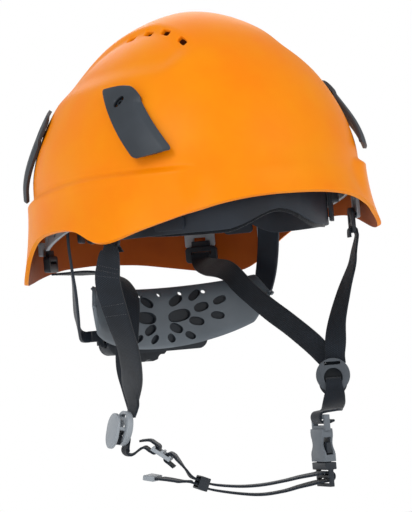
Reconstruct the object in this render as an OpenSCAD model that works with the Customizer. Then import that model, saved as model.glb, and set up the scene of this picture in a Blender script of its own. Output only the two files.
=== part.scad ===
// Climbing helmet with suspension, nape ratchet and four-point chin strap.
// Frame: origin at the centre of the head opening on the headband plane,
// +Z up, the wearer faces -Y, the wearer's left side is +X. Millimetres.

/* [View] */
// which sub-part to draw, or all of them

/* [Shell] */
// half width of the dome at its widest level
shell_half_width = 105.4; // [98:0.1:112]
// dome length in front of the head centre
shell_front = 117.3; // [110:0.1:125]
// dome length behind the head centre
shell_rear = 146.4; // [138:0.1:155]
// height of the dome above its widest level
dome_height = 113.1; // [105:0.1:120]
// level of the widest section above the headband plane
dome_base_z = 28; // [24:0.5:32]
// wall thickness of the moulded shell
shell_wall = 3; // [2.4:0.1:4]
// how far the lower skirt stands out from the dome
skirt_step = 5; // [2:0.5:7]
// depth of the two scoops beside the centre crest
scoop_depth = 3.5; // [0:0.5:5]
// length of one vent slot
vent_length = 8; // [5:0.5:12]
// width of one vent slot
vent_width = 3.6; // [2.5:0.1:5]

/* [Lamp clips] */
// width of a lamp clip
clip_width = 25; // [18:1:30]
// thickness of a lamp clip
clip_wall = 2.4; // [1.8:0.1:3.5]
// radius of the stud that holds a clip in the shell
clip_stud_r = 2.5; // [2:0.1:3.5]

/* [Headband] */
// half width of the headband, outside
band_half_width = 82; // [74:0.5:86]
// headband length in front of the head centre
band_front = 97; // [88:0.5:100]
// headband length behind the head centre
band_rear = 95; // [86:0.5:98]
// thickness of the headband moulding
band_wall = 1.8; // [1.2:0.1:3]
// thickness of the brow pad
brow_pad_wall = 5; // [3:0.5:8]

/* [Nape adjuster] */
// radius of the ratchet knob
knob_r = 22; // [16:0.5:26]
// thickness of the ratchet knob
knob_depth = 13; // [9:0.5:16]
// height of the knob axis
knob_z = -81; // [-90:0.5:-72]
// pitch radius of the pinion
pinion_r = 4.4; // [3.5:0.1:6]
// radius of the knob shaft
shaft_r = 2.2; // [1.5:0.1:3]

/* [Webbing] */
// width of the chin strap webbing
web_width = 18; // [14:1:22]
// thickness of the webbing
web_wall = 1.5; // [1:0.1:2.2]
// width of the buckle
buckle_width = 22; // [18:0.5:28]
// thickness of the buckle
buckle_wall = 8.4; // [7:0.2:12]

/* [Hidden] */
plan_n = 2.1;
dome_p = 1.66;
dome_q = 1.83;
columns = 72;
crown_z = dome_base_z + dome_height;
buckle_at = [42, -62, -172];
slider_left_at = [72, -38.3, -122];
slider_right_at = [-71, 14, -146];
slider_left_turn = [0, 0, -32];
slider_right_turn = [-14, 0, -98];
buckle_turn = [0, 0, -9];
keeper_at = [-32.4, -20.2, -187.9];
keeper_turn = [0, 24, -22];
tri_glide_at = [-52.6, -4.4, -165.4];
tri_glide_turn = [0, 37, -38];
rear_turn = 44;
front_turn = -22;
rear_anchor_at = [64.6, 110.6, -24.4];
front_anchor_at = [102.6, -40.1, -4];
arc_seg = 20;
hole_fn = 24;

// ---------- helper functions ----------
function spow(v, e) = sign(v) * pow(abs(v), e);
function smooth(v) = let (c = min(1, max(0, v))) c * c * (3 - 2 * c);
function plan_x(phi, w) = w * spow(sin(phi), 2 / plan_n);
function plan_y(phi, lf, lr) = cos(phi) > 0
  ? -lf * pow(cos(phi), 2 / plan_n)
  : lr * pow(-cos(phi), 2 / plan_n);
function dome_k(t) = pow(max(0, 1 - pow(min(1, max(0, t)), dome_p)), 1 / dome_q);
// point of the dome surface moved out by off, phi counted from the brow
function dome_raw(phi, z, off) =
  let (k = dome_k((z - dome_base_z) / (dome_height + off)))
  [plan_x(phi, shell_half_width + off) * k,
   plan_y(phi, shell_front + off, shell_rear + off) * k, z];
// depth of the scoop at a surface point
function scoop(p) =
  let (edge = 33 + 0.12 * max(0, p[1] + 20))
  let (side = smooth((abs(p[0]) - edge) / 14))
  let (low = smooth((p[2] - 86 + 0.05 * p[1]) / 14))
  let (front = smooth((p[1] + 66) / 12))
  let (rear = 1 - smooth((p[1] - 50) / 45))
  scoop_depth * side * low * front * rear;
function dome_pt(phi, z, off) =
  dome_raw(phi, z, off - scoop(dome_raw(phi, z, off)));
// height of the rim and flare of the rim around the shell
function fold(phi) = let (m = (phi % 360 + 360) % 360) m > 180 ? 360 - m : m;
function rim_z(phi) = lookup(fold(phi), [[0, 4.6], [10, 4.4], [20, 3], [30, 0],
  [40, -5], [50, -10], [58, -14], [65, -19], [70, -20], [74, -17.5], [80, -10.5],
  [86, -7.5], [95, -7.5], [104, -10], [111, -17], [118, -28], [124, -38],
  [129, -41], [141, -38.5], [152, -34], [164, -29.5], [180, -27.5]]);
function flare(phi) = lookup(fold(phi), [[0, 5], [20, 6], [40, 7.5], [52, 9],
  [60, 13], [66, 16.5], [72, 16.5], [80, 12.5], [90, 11], [110, 10], [127, 12],
  [150, 12], [180, 11]]);
function step_at(phi) = skirt_step * smooth((fold(phi) - 34) / 9);
function ledge_z(phi) = min(dome_base_z - 0.5,
  25.3 - 0.075 * plan_y(phi, shell_front, shell_rear));
// ring of the skirt, s = 0 under the ledge, s = 1 at the rim
function skirt_pt(phi, s, off) =
  let (z0 = ledge_z(phi) - 5)
  let (out = step_at(phi) + (flare(phi) - step_at(phi)) * pow(s, 1.6) + off)
  [plan_x(phi, shell_half_width + out),
   plan_y(phi, shell_front + out, shell_rear + out),
   z0 + (rim_z(phi) - z0) * s];
// point of an oval band, phi counted from the brow
function band_pt(phi, z, off) =
  [(band_half_width + off) * sin(phi),
   cos(phi) > 0 ? -(band_front + off) * cos(phi) : -(band_rear + off) * cos(phi), z];
function unit(v) = v / max(norm(v), 0.000001);
// rounded route through the points of a list
function spline(p, i, t) =
  let (a = p[max(0, i - 1)])
  let (b = p[i])
  let (c = p[i + 1])
  let (d = p[min(len(p) - 1, i + 2)])
  0.5 * (2 * b + (c - a) * t + (2 * a - 5 * b + 4 * c - d) * t * t
    + (3 * b - a - 3 * c + d) * t * t * t);
function route(p, n) = concat(
  [for (i = [0:len(p) - 2]) for (j = [0:n - 1]) spline(p, i, j / n)],
  [p[len(p) - 1]]);
// rectangular sections along a route, w = width directions, width = one or a list
function ribbon_rings(p, w, width, wall) =
  [for (i = [0:len(p) - 1])
    let (t = unit(p[min(len(p) - 1, i + 1)] - p[max(0, i - 1)]))
    let (n = unit(cross(t, w[i])))
    let (s = cross(n, t) * (is_list(width) ? width[i] : width) / 2)
    let (h = n * wall / 2)
    [p[i] + s + h, p[i] - s + h, p[i] - s - h, p[i] + s - h]];
// a point given in a frame that is turned about X, then Y, then Z, and moved
function about_x(a, p) =
  [p[0], p[1] * cos(a) - p[2] * sin(a), p[1] * sin(a) + p[2] * cos(a)];
function about_y(a, p) =
  [p[0] * cos(a) + p[2] * sin(a), p[1], p[2] * cos(a) - p[0] * sin(a)];
function about_z(a, p) =
  [p[0] * cos(a) - p[1] * sin(a), p[0] * sin(a) + p[1] * cos(a), p[2]];
function turned(r, p) = about_z(r[2], about_y(r[1], about_x(r[0], p)));
function placed(at, r, p) = at + turned(r, p);

// ---------- helper modules ----------
// solid through a list of equal rings that run anticlockwise about the route
module loft(rings) {
  m = len(rings[0]);
  n = len(rings);
  sides = [for (i = [0:n - 2]) for (j = [0:m - 1]) for (k = [0:1])
    k == 0
      ? [i * m + j, (i + 1) * m + j, i * m + (j + 1) % m]
      : [i * m + (j + 1) % m, (i + 1) * m + j, (i + 1) * m + (j + 1) % m]];
  first = [for (j = [1:m - 2]) [0, j, j + 1]];
  last = [for (j = [1:m - 2]) [(n - 1) * m, (n - 1) * m + j + 1, (n - 1) * m + j]];
  polyhedron([for (r = rings) for (q = r) q], concat(sides, first, last));
}
// closed loop of equal rings
module loop_loft(rings) {
  m = len(rings[0]);
  n = len(rings);
  faces = [for (i = [0:n - 1]) for (j = [0:m - 1]) for (k = [0:1])
    k == 0
      ? [i * m + j, ((i + 1) % n) * m + j, i * m + (j + 1) % m]
      : [i * m + (j + 1) % m, ((i + 1) % n) * m + j, ((i + 1) % n) * m + (j + 1) % m]];
  polyhedron([for (r = rings) for (q = r) q], faces);
}
function reversed(v) = [for (i = [len(v) - 1:-1:0]) v[i]];
// webbing along hand-routed points, width = one number or one per point
module webbing(p, w, width = web_width, n = 5) {
  loft(ribbon_rings(route(p, n), route(w, n),
    is_list(width) ? route(width, n) : width, web_wall));
}
module both_sides() {
  children();
  mirror([1, 0, 0]) children();
}
// upright bar with rounded ends, along Z in the local frame
module slab(w, h, t, r) {
  rotate([90, 0, 0]) linear_extrude(height = t, center = true) {
    square([w - 2 * r, h], center = true);
    square([w, h - 2 * r], center = true);
    for (x = [-1, 1], z = [-1, 1])
      translate([x * (w / 2 - r), z * (h / 2 - r)]) circle(r = r, $fn = arc_seg);
  }
}

// ---------- shell ----------
function ring_at(t, off) = [for (c = [0:columns - 1])
  dome_pt(c * 360 / columns, dome_base_z + t * (dome_height + off), off)];
function ledge_ring(drop, off) = [for (c = [0:columns - 1])
  let (phi = c * 360 / columns)
  let (q = dome_raw(phi, dome_base_z, off))
  [q[0], q[1], ledge_z(phi) - drop]];
function skirt_ring(s, off) =
  [for (c = [0:columns - 1]) skirt_pt(c * 360 / columns, s, off)];
function apex_ring(off) = [for (c = [0:columns - 1])
  let (q = ring_at(0.9985, off)[c]) [q[0] * 0.3, q[1] * 0.3, crown_z + off - 0.02]];
module shell_body() {
  outer_t = [for (i = [1:16]) 1 - pow(i / 16, 1.9)];
  inner_t = [for (i = [12:-1:1]) 1 - pow(i / 12, 1.9)];
  outer = concat([apex_ring(0)], [for (t = outer_t) ring_at(t, 0)],
    [ledge_ring(0, 0)],
    [for (s = [0, 0.2, 0.45, 0.7, 0.88, 1]) skirt_ring(s, 0)]);
  inner = concat([for (s = [1, 0.8, 0.5, 0.2]) skirt_ring(s, -shell_wall)],
    [ledge_ring(2, -shell_wall)],
    [for (t = inner_t) ring_at(t, -shell_wall)], [apex_ring(-shell_wall)]);
  loft([for (r = concat(outer, inner)) reversed(r)]);
}
// vent slots: lateral place, fore-and-aft place, level, turn in plan
vents = [[44.5, 6.6, 126, -5], [41, -11.4, 127, 8], [38.4, -30, 124.5, 18],
  [38.4, -50, 116.5, 30]];
module vent_cutters() {
  both_sides() for (v = vents)
    translate([v[0], v[1], v[2]]) rotate([0, 30, v[3]]) {
      cube([vent_width, vent_length, 18], center = true);
    }
}
// place of a lamp clip stud on the dome, and the outward direction there
function normal_at(phi, z) =
  let (d = dome_raw(phi + 1, z, 0) - dome_raw(phi - 1, z, 0))
  let (u = dome_raw(phi, z + 1.5, 0) - dome_raw(phi, z - 1.5, 0))
  unit(cross(d, u));
// clip layout: phi and level at the top, the stud and the free end, then the slant of its ends
front_clip = [[69, 84], [66, 73], [50, 35], 0.1];
rear_clip = [[119, 76], [121, 65], [131, 22], 0];
module along(v) {
  rotate([0, acos(v[2]), atan2(v[1], v[0])]) children();
}
module stud_at(c, r, h0, h1) {
  p = dome_raw(c[1][0], c[1][1], 0);
  n = normal_at(c[1][0], c[1][1]);
  translate(p + n * h0) along(n) cylinder(r = r, h = h1 - h0, $fn = hole_fn);
}
module shell() {
  color([1, 0.56, 0.02]) resize([0, 0, 0]) difference() {
    shell_body();
    vent_cutters();
    both_sides() for (c = [front_clip, rear_clip])
      stud_at(c, clip_stud_r + 0.9, -8, 8);
  }
}

// ---------- lamp clips ----------
// point of a clip, u along it, x across it, deep below its outer face
clip_gap = 2;
clip_bow = 1.1;
function clip_pt(c, u, x, deep) =
  let (v = u - c[3] * x)
  let (phi = c[0][0] + (c[2][0] - c[0][0]) * v)
  let (z = c[0][1] + (c[2][1] - c[0][1]) * v)
  let (p = dome_raw(phi, z, 0))
  let (nn = normal_at(phi, z))
  let (p2 = dome_raw(phi + (c[2][0] - c[0][0]) * 0.02,
    z + (c[2][1] - c[0][1]) * 0.02, 0))
  let (w = unit(cross(nn, unit(p2 - p))))
  let (half = (clip_width / 2) * (u < 0.02 ? 0.62 : u < 0.12 ? 0.86 : 1))
  let (lift = clip_gap + 3.2 * smooth((u - 0.25) / 0.75))
  p + w * half * x + nn * (lift + clip_wall - clip_bow * x * x - deep);
// plate that follows the dome from the top of the clip to its free end
module clip_plate(c) {
  n = 10;
  across = [for (k = [0:4]) -1 + k / 2];
  loft([for (i = [0:n]) reversed(concat(
    [for (x = across) clip_pt(c, i / n, x, 0)],
    [for (x = reversed(across)) clip_pt(c, i / n, x, clip_wall)]))]);
}
module lamp_clip_front_left() { color([0.22, 0.25, 0.28]) one_clip(front_clip); }
module lamp_clip_front_right() {
  color([0.22, 0.25, 0.28]) mirror([1, 0, 0]) one_clip(front_clip);
}
module lamp_clip_rear_left() { color([0.22, 0.25, 0.28]) one_clip(rear_clip); }
module lamp_clip_rear_right() {
  color([0.22, 0.25, 0.28]) mirror([1, 0, 0]) one_clip(rear_clip);
}
// clip with its hollow stud through the shell
module one_clip(c) {
  difference() {
    union() {
      clip_plate(c);
      stud_at(c, clip_stud_r, -7, 2.4);
    }
    stud_at(c, clip_stud_r - 1.1, -10, 10);
  }
}
// push-on washers that hold the four studs inside the shell
module clip_retainers() {
  color([0.6, 0.62, 0.64]) both_sides() for (c = [front_clip, rear_clip])
    difference() {
      stud_at(c, clip_stud_r + 3, -6.2, -4.9);
      stud_at(c, clip_stud_r + 0.5, -9, 0);
    }
}

// ---------- suspension inside the shell ----------
function inner_wall(phi, z, gap) =
  [plan_x(phi, shell_half_width - shell_wall - gap),
   plan_y(phi, shell_front - shell_wall - gap, shell_rear - shell_wall - gap), z];
function rail_z(phi) = -3 - 0.2 * (inner_wall(phi, 0, 0)[1] - 20);
// side rail, a curved plate against the shell wall with square windows
module rail() {
  rings = [for (i = [0:16])
    let (phi = 58 + 60 * i / 16)
    let (a = inner_wall(phi, rail_z(phi), 0.6))
    let (b = inner_wall(phi, rail_z(phi), 3))
    [[a[0], a[1], a[2] - 5], [a[0], a[1], a[2] + 5],
     [b[0], b[1], b[2] + 5], [b[0], b[1], b[2] - 5]]];
  resize([0, 0, 0]) difference() {
    loft([for (r = rings) reversed(r)]);
    for (phi = [66, 78, 96, 106, 114])
      translate(inner_wall(phi, rail_z(phi), 2))
        rotate([0, 0, phi - 90]) cube([8, 5, 4.6], center = true);
  }
}
module suspension_rail_left() { color([0.62, 0.66, 0.7]) rail(); }
module suspension_rail_right() { color([0.62, 0.66, 0.7]) mirror([1, 0, 0]) rail(); }
// keys that hold the cradle straps on the shell, six alike
key_angles = [38, 92, 142];
module cradle_keys() {
  color([0.3, 0.33, 0.36]) both_sides() for (phi = key_angles) {
    p = inner_wall(phi, 15, 3.4);
    translate(p) rotate([0, 0, phi - 90]) {
      slab_x(16, 14, 3, 2.5);
    }
  }
}
// slab that faces +X in the local frame
module slab_x(w, h, t, r) {
  rotate([0, 0, 90]) slab(w, h, t, r);
}
// cradle strap from key to key over the head
module cradle(phi_a, phi_b, level) {
  steps = 11;
  pts = [for (i = [0:2 * steps])
    let (u = abs(i - steps) / steps)
    let (phi = i < steps ? phi_a : phi_b)
    let (e = dome_raw(phi, dome_base_z, -10.8))
    let (k = sin(90 * u))
    [e[0] * k, e[1] * k, 14 + (crown_z - 30 - level - 14) * pow(cos(90 * u), 0.9)]];
  ws = [for (p = pts) let (e = dome_raw(phi_b, dome_base_z, 0)) unit([-e[1], e[0], 0])];
  loft(ribbon_rings(pts, ws, 15, 1.4));
}
module cradle_strap_front_left() {
  color([0.1, 0.11, 0.13]) cradle(38, 218, 0);
}
module cradle_strap_front_right() {
  color([0.1, 0.11, 0.13]) cradle(322, 142, 2.2);
}
module cradle_strap_across() {
  color([0.1, 0.11, 0.13]) cradle(92, 268, 4.4);
}
// comfort pad below the crossing of the cradle straps
module crown_pad() {
  color([0.12, 0.13, 0.15]) translate([0, 4, crown_z - 45.4]) rotate([90, 0, 90])
    translate([0, 0, -30]) linear_extrude(height = 60) {
      square([70, 5], center = true);
      for (s = [-1, 1]) translate([s * 35, 0]) circle(r = 2.5, $fn = arc_seg);
    }
}
function band_low(phi) = let (f = fold(phi))
  f < 28 ? -5 - 12 * smooth(f / 28) : f < 105 ? -17 : -17 + 21 * smooth((f - 105) / 35);
function band_top(phi) = 14 - 2 * smooth((fold(phi) - 110) / 40);
module headband() {
  color([0.13, 0.15, 0.18]) loop_loft([for (c = [0:71])
    let (phi = 360 - c * 5)
    [band_pt(phi, band_low(phi), 0), band_pt(phi, band_low(phi), -band_wall),
     band_pt(phi, band_top(phi), -band_wall), band_pt(phi, band_top(phi), 0)]]);
}
module brow_pad() {
  color([0.08, 0.09, 0.12]) loft([for (c = [0:26])
    let (phi = -65 + c * 5)
    let (e = 1 - pow(abs(phi) / 66, 6))
    let (lo = band_low(phi) - 2.5 * e)
    let (hi = 15)
    let (mid = (hi + lo) / 2)
    let (g = -band_wall - 0.4)
    let (t = 0.6 + (brow_pad_wall - 0.6) * max(0.1, e))
    [band_pt(phi, mid - (mid - lo) * 0.96, g), band_pt(phi, hi, g),
     band_pt(phi, hi - 1.5, g - t * 0.7), band_pt(phi, mid, g - t),
     band_pt(phi, mid - (mid - lo) * 0.88, g - t * 0.75)]]);
}
// four hangers between the headband and the shell
module headband_hangers() {
  color([0.42, 0.45, 0.49]) both_sides() for (phi = [52, 128]) {
    p = band_pt(phi, 0, 2.2);
    translate([p[0], p[1], -1]) rotate([0, 0, phi - 90]) {
      slab_x(22, 27, 2.4, 3);
      translate([3.4, 0, 4]) slab_x(14, 9, 4.6, 2);
    }
  }
}
// drop-down arm from the headband to the rear of the nape pad
arm_route = [[84.6, 46, -2], [84.2, 47, -16], [82.6, 48, -32], [80.6, 50, -46],
  [78.4, 54, -59],
  [74, 61.5, -71], [67, 71, -79],
  [60, 77.4, -81], [53.4, 80.8, -81]];
arm_up = [[-0.5, 0.87, 0], [-0.5, 0.87, 0], [-0.48, 0.87, 0.05], [-0.4, 0.87, 0.2],
  [-0.25, 0.75, 0.6], [0, 0.35, 1], [0, 0.1, 1], [0, 0, 1], [0, 0, 1]];
module arm() {
  p = route(arm_route, 4);
  w = route(arm_up, 4);
  r = [for (i = [0:len(p) - 1])
    let (u = i / (len(p) - 1))
    ribbon_rings(p, w, 17 - 9 * smooth((u - 0.35) / 0.5), 2)[i]];
  loft(r);
}
module headband_arm_left() { color([0.12, 0.14, 0.17]) arm(); }
module headband_arm_right() { color([0.12, 0.14, 0.17]) mirror([1, 0, 0]) arm(); }

// ---------- nape unit ----------
// the pad bows round the back of the neck, u runs from -1 to 1
function pad_arc(u, off) = let (a = u * 62)
  [(78 + off) * sin(a) * 1.08, 68 - 66 * (1 - cos(a)) + off * cos(a), 0];
function pad_top(u) = -50 + 6 * u * u - 16 * smooth((abs(u) - 0.86) / 0.16);
function pad_low(u) = -94 + 20 * u * u + 14 * smooth((abs(u) - 0.82) / 0.2);
module pad_plate() {
  n = 28;
  loft([for (i = [0:n])
    let (u = -1 + 2 * i / n)
    let (a = pad_arc(u, 0))
    let (b = pad_arc(u, 2.6))
    let (lo = pad_low(u))
    let (hi = pad_top(u))
    [[a[0], a[1] + 4.5, hi + 0], [a[0], a[1] + 1, hi - 7], [a[0], a[1], (hi + lo) / 2],
     [a[0], a[1] + 1, lo + 7], [a[0], a[1] + 4.5, lo],
     [b[0], b[1] + 4.5, lo], [b[0], b[1] + 1, lo + 7], [b[0], b[1], (hi + lo) / 2],
     [b[0], b[1] + 1, hi - 7], [b[0], b[1] + 4.5, hi]]]);
}
// petal openings: place across, level, long half axis, short half axis, turn
petals = [[12, -60, 5.5, 2.8, 32], [14, -71, 8, 4, 8], [11, -80, 5, 2.8, -28],
  [7, -87, 3.6, 2.2, -55], [27, -57, 5, 2.4, 38], [31, -66, 5, 2.8, 14],
  [27, -76, 5.2, 2.6, -14], [22, -86, 4.2, 2.1, -32], [44, -62, 4.4, 2.2, 20],
  [42, -73, 4.4, 2.3, -10]];
vents_top = [0, 17, 34];
module nape_pad() {
  color([0.38, 0.41, 0.44]) resize([0, 0, 0]) difference() {
    pad_plate();
    both_sides() for (q = petals)
      translate([q[0], 100, q[1]]) rotate([90, 0, 0]) rotate([0, 0, q[4]])
        scale([1, q[3] / q[2], 1]) cylinder(r = q[2], h = 90, $fn = 20);
    both_sides() for (x = vents_top)
      translate([x, 100, -54.5]) rotate([90, 0, 0]) cylinder(r = 1.7, h = 90, $fn = 14);
  }
}
// ratchet housing behind the pad, open toward the rear, with side mouths
house_w = 84;
house_h = 30;
house_y = 75.4;
house_d = 13;
module ratchet_housing() {
  color([0.16, 0.18, 0.21]) difference() {
    translate([0, house_y + house_d / 2, knob_z]) slab(house_w, house_h, house_d, 8);
    translate([0, house_y + house_d / 2 + 1.8, knob_z])
      slab(house_w - 4, house_h - 4, house_d, 6);
    translate([0, house_y + 5.4, knob_z]) cube([house_w + 2, 3.4, 18.4], center = true);
    both_sides() translate([screw_x, house_y - 1, knob_z])
      rotate([-90, 0, 0]) cylinder(r = 1.2, h = 6, $fn = hole_fn);
    translate([0, house_y - 1, knob_z]) rotate([-90, 0, 0])
      cylinder(r = shaft_r + 0.35, h = 6, $fn = hole_fn);
  }
}
screw_x = 34;
// cover that closes the housing and carries the click teeth
module ratchet_cover() {
  color([0.14, 0.16, 0.19]) difference() {
    translate([0, house_y + house_d + 1.2, knob_z]) slab(house_w, house_h, 2, 8);
    translate([0, house_y + house_d - 3, knob_z]) rotate([-90, 0, 0])
      cylinder(r = shaft_r + 0.35, h = 9, $fn = hole_fn);
    both_sides() translate([screw_x, house_y + house_d - 3, knob_z])
      rotate([-90, 0, 0]) cylinder(r = 1.5, h = 9, $fn = hole_fn);
  }
}
module housing_screws() {
  color([0.7, 0.71, 0.72]) both_sides() translate([screw_x, 0, knob_z]) {
    translate([0, house_y + house_d + 2.4, 0]) rotate([-90, 0, 0])
      cylinder(r = 2.6, h = 1.5, $fn = hole_fn);
    translate([0, house_y + 3.1, 0]) rotate([-90, 0, 0])
      cylinder(r = 1.15, h = house_d, $fn = hole_fn);
  }
}
// knob with finger scallops and its shaft
knob_y = house_y + house_d + 3.4;
module ratchet_knob() {
  color([0.1, 0.11, 0.13]) translate([0, knob_y, knob_z]) rotate([-90, 0, 0]) {
    difference() {
      union() {
        cylinder(r = knob_r, h = knob_depth - 2, $fn = 60);
        translate([0, 0, knob_depth - 2]) cylinder(r = knob_r - 2, h = 2, $fn = 60);
      }
      for (i = [0:11]) rotate([0, 0, i * 30])
        translate([knob_r + 2.2, 0, -1]) cylinder(r = 4, h = knob_depth + 2, $fn = 24);
      translate([0, 0, knob_depth - 3]) cylinder(r = 13, h = 4, $fn = 48);
    }
    translate([0, 0, -(knob_y - house_y - 0.4)])
      cylinder(r = shaft_r, h = knob_y - house_y + 2, $fn = hole_fn);
  }
}
// toothed wheel on the shaft that drives both racks
module pinion() {
  color([0.75, 0.75, 0.72]) translate([0, house_y + 3.9, knob_z]) rotate([-90, 0, 0])
    difference() {
      union() {
        cylinder(r = pinion_r - 0.9, h = 3, $fn = 32);
        for (i = [0:9]) rotate([0, 0, i * 36 + 18])
          translate([pinion_r - 0.7, 0, 1.5]) cube([1.9, 1.1, 3], center = true);
      }
      translate([0, 0, -1]) cylinder(r = shaft_r, h = 5, $fn = hole_fn);
    }
}
// toothed strip, up = 1 above the pinion for the left arm
module rack(up) {
  z0 = knob_z + up * (pinion_r + 2.6);
  y0 = house_y + 4.2;
  difference() {
    translate([-24, y0, z0 - 1.4]) cube([70, 2.4, 2.8]);
    translate([-20, y0 - 1, z0 - 0.4 + up * 0.7]) cube([16, 5, 0.8]);
  }
  for (i = [0:19])
    translate([-21.3 + i * 2.76, y0, up > 0 ? z0 - 2.5 : z0 + 1.3]) cube([1.2, 2.4, 1.2]);
  translate([44.2, y0, knob_z - 4]) cube([8.4, 2.4, 8]);
  translate([44.2, y0, min(z0, knob_z)]) cube([4, 2.4, abs(z0 - knob_z)]);
}
module rack_left() { color([0.16, 0.18, 0.21]) rack(1); }
module rack_right() { color([0.16, 0.18, 0.21]) mirror([1, 0, 0]) rack(-1); }
// spring leaf that clicks on the knob
module click_spring() {
  color([0.7, 0.72, 0.74]) translate([0, house_y + house_d - 0.9, knob_z]) difference() {
    union() {
      rotate([-90, 0, 0]) cylinder(r = 8, h = 0.7, $fn = 40);
      translate([-20, 0, -2.5]) cube([40, 0.7, 5]);
    }
    translate([0, -1, 0]) rotate([-90, 0, 0])
      cylinder(r = shaft_r + 0.5, h = 4, $fn = hole_fn);
  }
}

// ---------- strap anchors ----------
// light hook plate under the front lobe, with a square window
module front_clip_plate() {
  translate(front_anchor_at) rotate([0, 0, front_turn]) difference() {
    slab_x(15, 17, 2.6, 2.5);
    translate([0, -1, 3]) cube([5, 4.4, 4.4], center = true);
    translate([0, 0, -5.6]) cube([5, 10, 2.2], center = true);
  }
}
module strap_clip_front_left() { color([0.66, 0.69, 0.72]) front_clip_plate(); }
module strap_clip_front_right() {
  color([0.66, 0.69, 0.72]) mirror([1, 0, 0]) front_clip_plate();
}
// dark hook that drops from the clip plate and carries the webbing
hook_at = front_anchor_at + [-3.6, 1.4, -10];
module front_hook() {
  translate(hook_at) rotate([0, 0, front_turn]) difference() {
    union() {
      slab_x(13, 18, 2.6, 4);
      translate([3.3, 0, 4.4]) cube([5, 7, 1.4], center = true);
    }
    translate([0, 0, 0.4]) rotate([0, 90, 0])
      cylinder(r = 2.2, h = 12, center = true, $fn = hole_fn);
    translate([0, 0, -5.4]) cube([5, 9.4, 2.6], center = true);
  }
}
module strap_hook_front_left() { color([0.09, 0.1, 0.12]) front_hook(); }
module strap_hook_front_right() { color([0.09, 0.1, 0.12]) mirror([1, 0, 0]) front_hook(); }
// light clip and dark block at the rear
module rear_clip_plate() {
  translate(rear_anchor_at + [2.2, 4.2, 9]) rotate([0, 0, rear_turn]) difference() {
    slab_x(23, 10, 3, 1.5);
    translate([0, 0, 0.4]) cube([6, 9, 2.8], center = true);
  }
}
module strap_clip_rear_left() { color([0.66, 0.69, 0.72]) rear_clip_plate(); }
module strap_clip_rear_right() {
  color([0.66, 0.69, 0.72]) mirror([1, 0, 0]) rear_clip_plate();
}
module rear_block() {
  translate(rear_anchor_at + [0, 0, -2]) rotate([0, 0, rear_turn]) difference() {
    union() {
      slab_x(24, 12, 4.6, 3);
      translate([0, 0, 7.6]) cube([2.4, 14, 5], center = true);
    }
    translate([0, 0, 1.2]) cube([8, 15, 1.8], center = true);
  }
}
module strap_block_rear_left() { color([0.09, 0.1, 0.12]) rear_block(); }
module strap_block_rear_right() { color([0.09, 0.1, 0.12]) mirror([1, 0, 0]) rear_block(); }

// ---------- webbing ----------
// points of the front strap where it turns round the bar of its hook
function hook_turn(side) = [for (q = [[-2.6, -12], [-2.6, -9], [-2.1, -6.3], [0, -5.4],
  [2.1, -6.3], [2.6, -9], [2.6, -12]])
  let (p = placed(hook_at, [0, 0, front_turn], [q[0], 0, q[1]])) [side * p[0], p[1], p[2]]];
function hook_across(side) =
  let (v = turned([0, 0, front_turn], [0, 1, 0])) [side * v[0], v[1], 0];
hook_widths = [15, 10.6, 8, 8, 8, 10.6, 15];
module strap_front_left() {
  color([0.07, 0.08, 0.1]) webbing(
    concat(hook_turn(1), [[99.6, -37.6, -36], [97.6, -36.2, -46], [91, -33.6, -63],
      [81.6, -35.2, -84], [77, -37.4, -100], [76.2, -37, -108], [76.2, -37.1, -114.4]]),
    concat([for (i = [0:6]) hook_across(1)], [[0.3, 0.95, 0], [0.2, 0.97, 0],
      [0, 1, 0.05], [-0.3, 0.95, 0.1], [-0.76, 0.65, 0], [-0.85, 0.53, 0],
      [-0.85, 0.53, 0]]),
    concat([8, 8, 8, 8, 8, 8, 8.6], [11, 13, 15, 15, 15, 14, 14]), 4);
}
// the rear straps lie flat across the top edge of the nape pad
module strap_rear_left() {
  color([0.07, 0.08, 0.1]) webbing(
    [[62.5, 107.5, -34.5], [57, 94, -35.5], [53, 80, -37], [50, 66, -38.6], [48, 54, -40.4],
     [47, 44, -44], [47.8, 36, -50.5], [50.5, 26, -59.5], [55, 10, -72], [62, -6, -85],
     [69.6, -23.6, -101], [72.6, -32.1, -112]],
    [[-0.69, 0.72, 0], [-0.66, 0.5, -0.5], [-0.6, 0.4, -0.68], [-0.57, 0.38, -0.73],
     [-0.52, 0.38, -0.76], [-0.4, 0.38, -0.8], [-0.25, 0.4, -0.85], [-0.1, 0.42, -0.88],
     [0, 0.42, -0.9], [0, 0.46, -0.88], [-0.2, 0.5, -0.82], [-0.6, 0.42, -0.68]],
    [15, 15, 15, 15, 15, 15, 16, 16, 17, 17, 16, 12]);
}
module strap_front_right() {
  color([0.07, 0.08, 0.1]) webbing(
    concat(hook_turn(-1), [[-101.6, -36.6, -34], [-100.6, -32.5, -48], [-92, -28.5, -74],
      [-82.4, -20.6, -92], [-72.6, -6, -108.7], [-65.6, 9, -121],
      placed(slider_right_at, slider_right_turn, [1, 4.4, 17]),
      placed(slider_right_at, slider_right_turn, [1, 3.7, 8])]),
    concat([for (i = [0:6]) hook_across(-1)], [[-0.5, 0.86, 0], [-0.6, 0.8, 0],
      [-0.5, 0.85, 0.1], [-0.4, 0.9, 0.2], [-0.3, 0.9, 0.3], [-0.1, 0.94, 0.25],
      [0.08, 0.98, 0.1], [0.139, 0.99, 0]]),
    concat(hook_widths, [17, web_width, web_width, web_width, web_width, 17, 15, 14]), 4);
}
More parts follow.
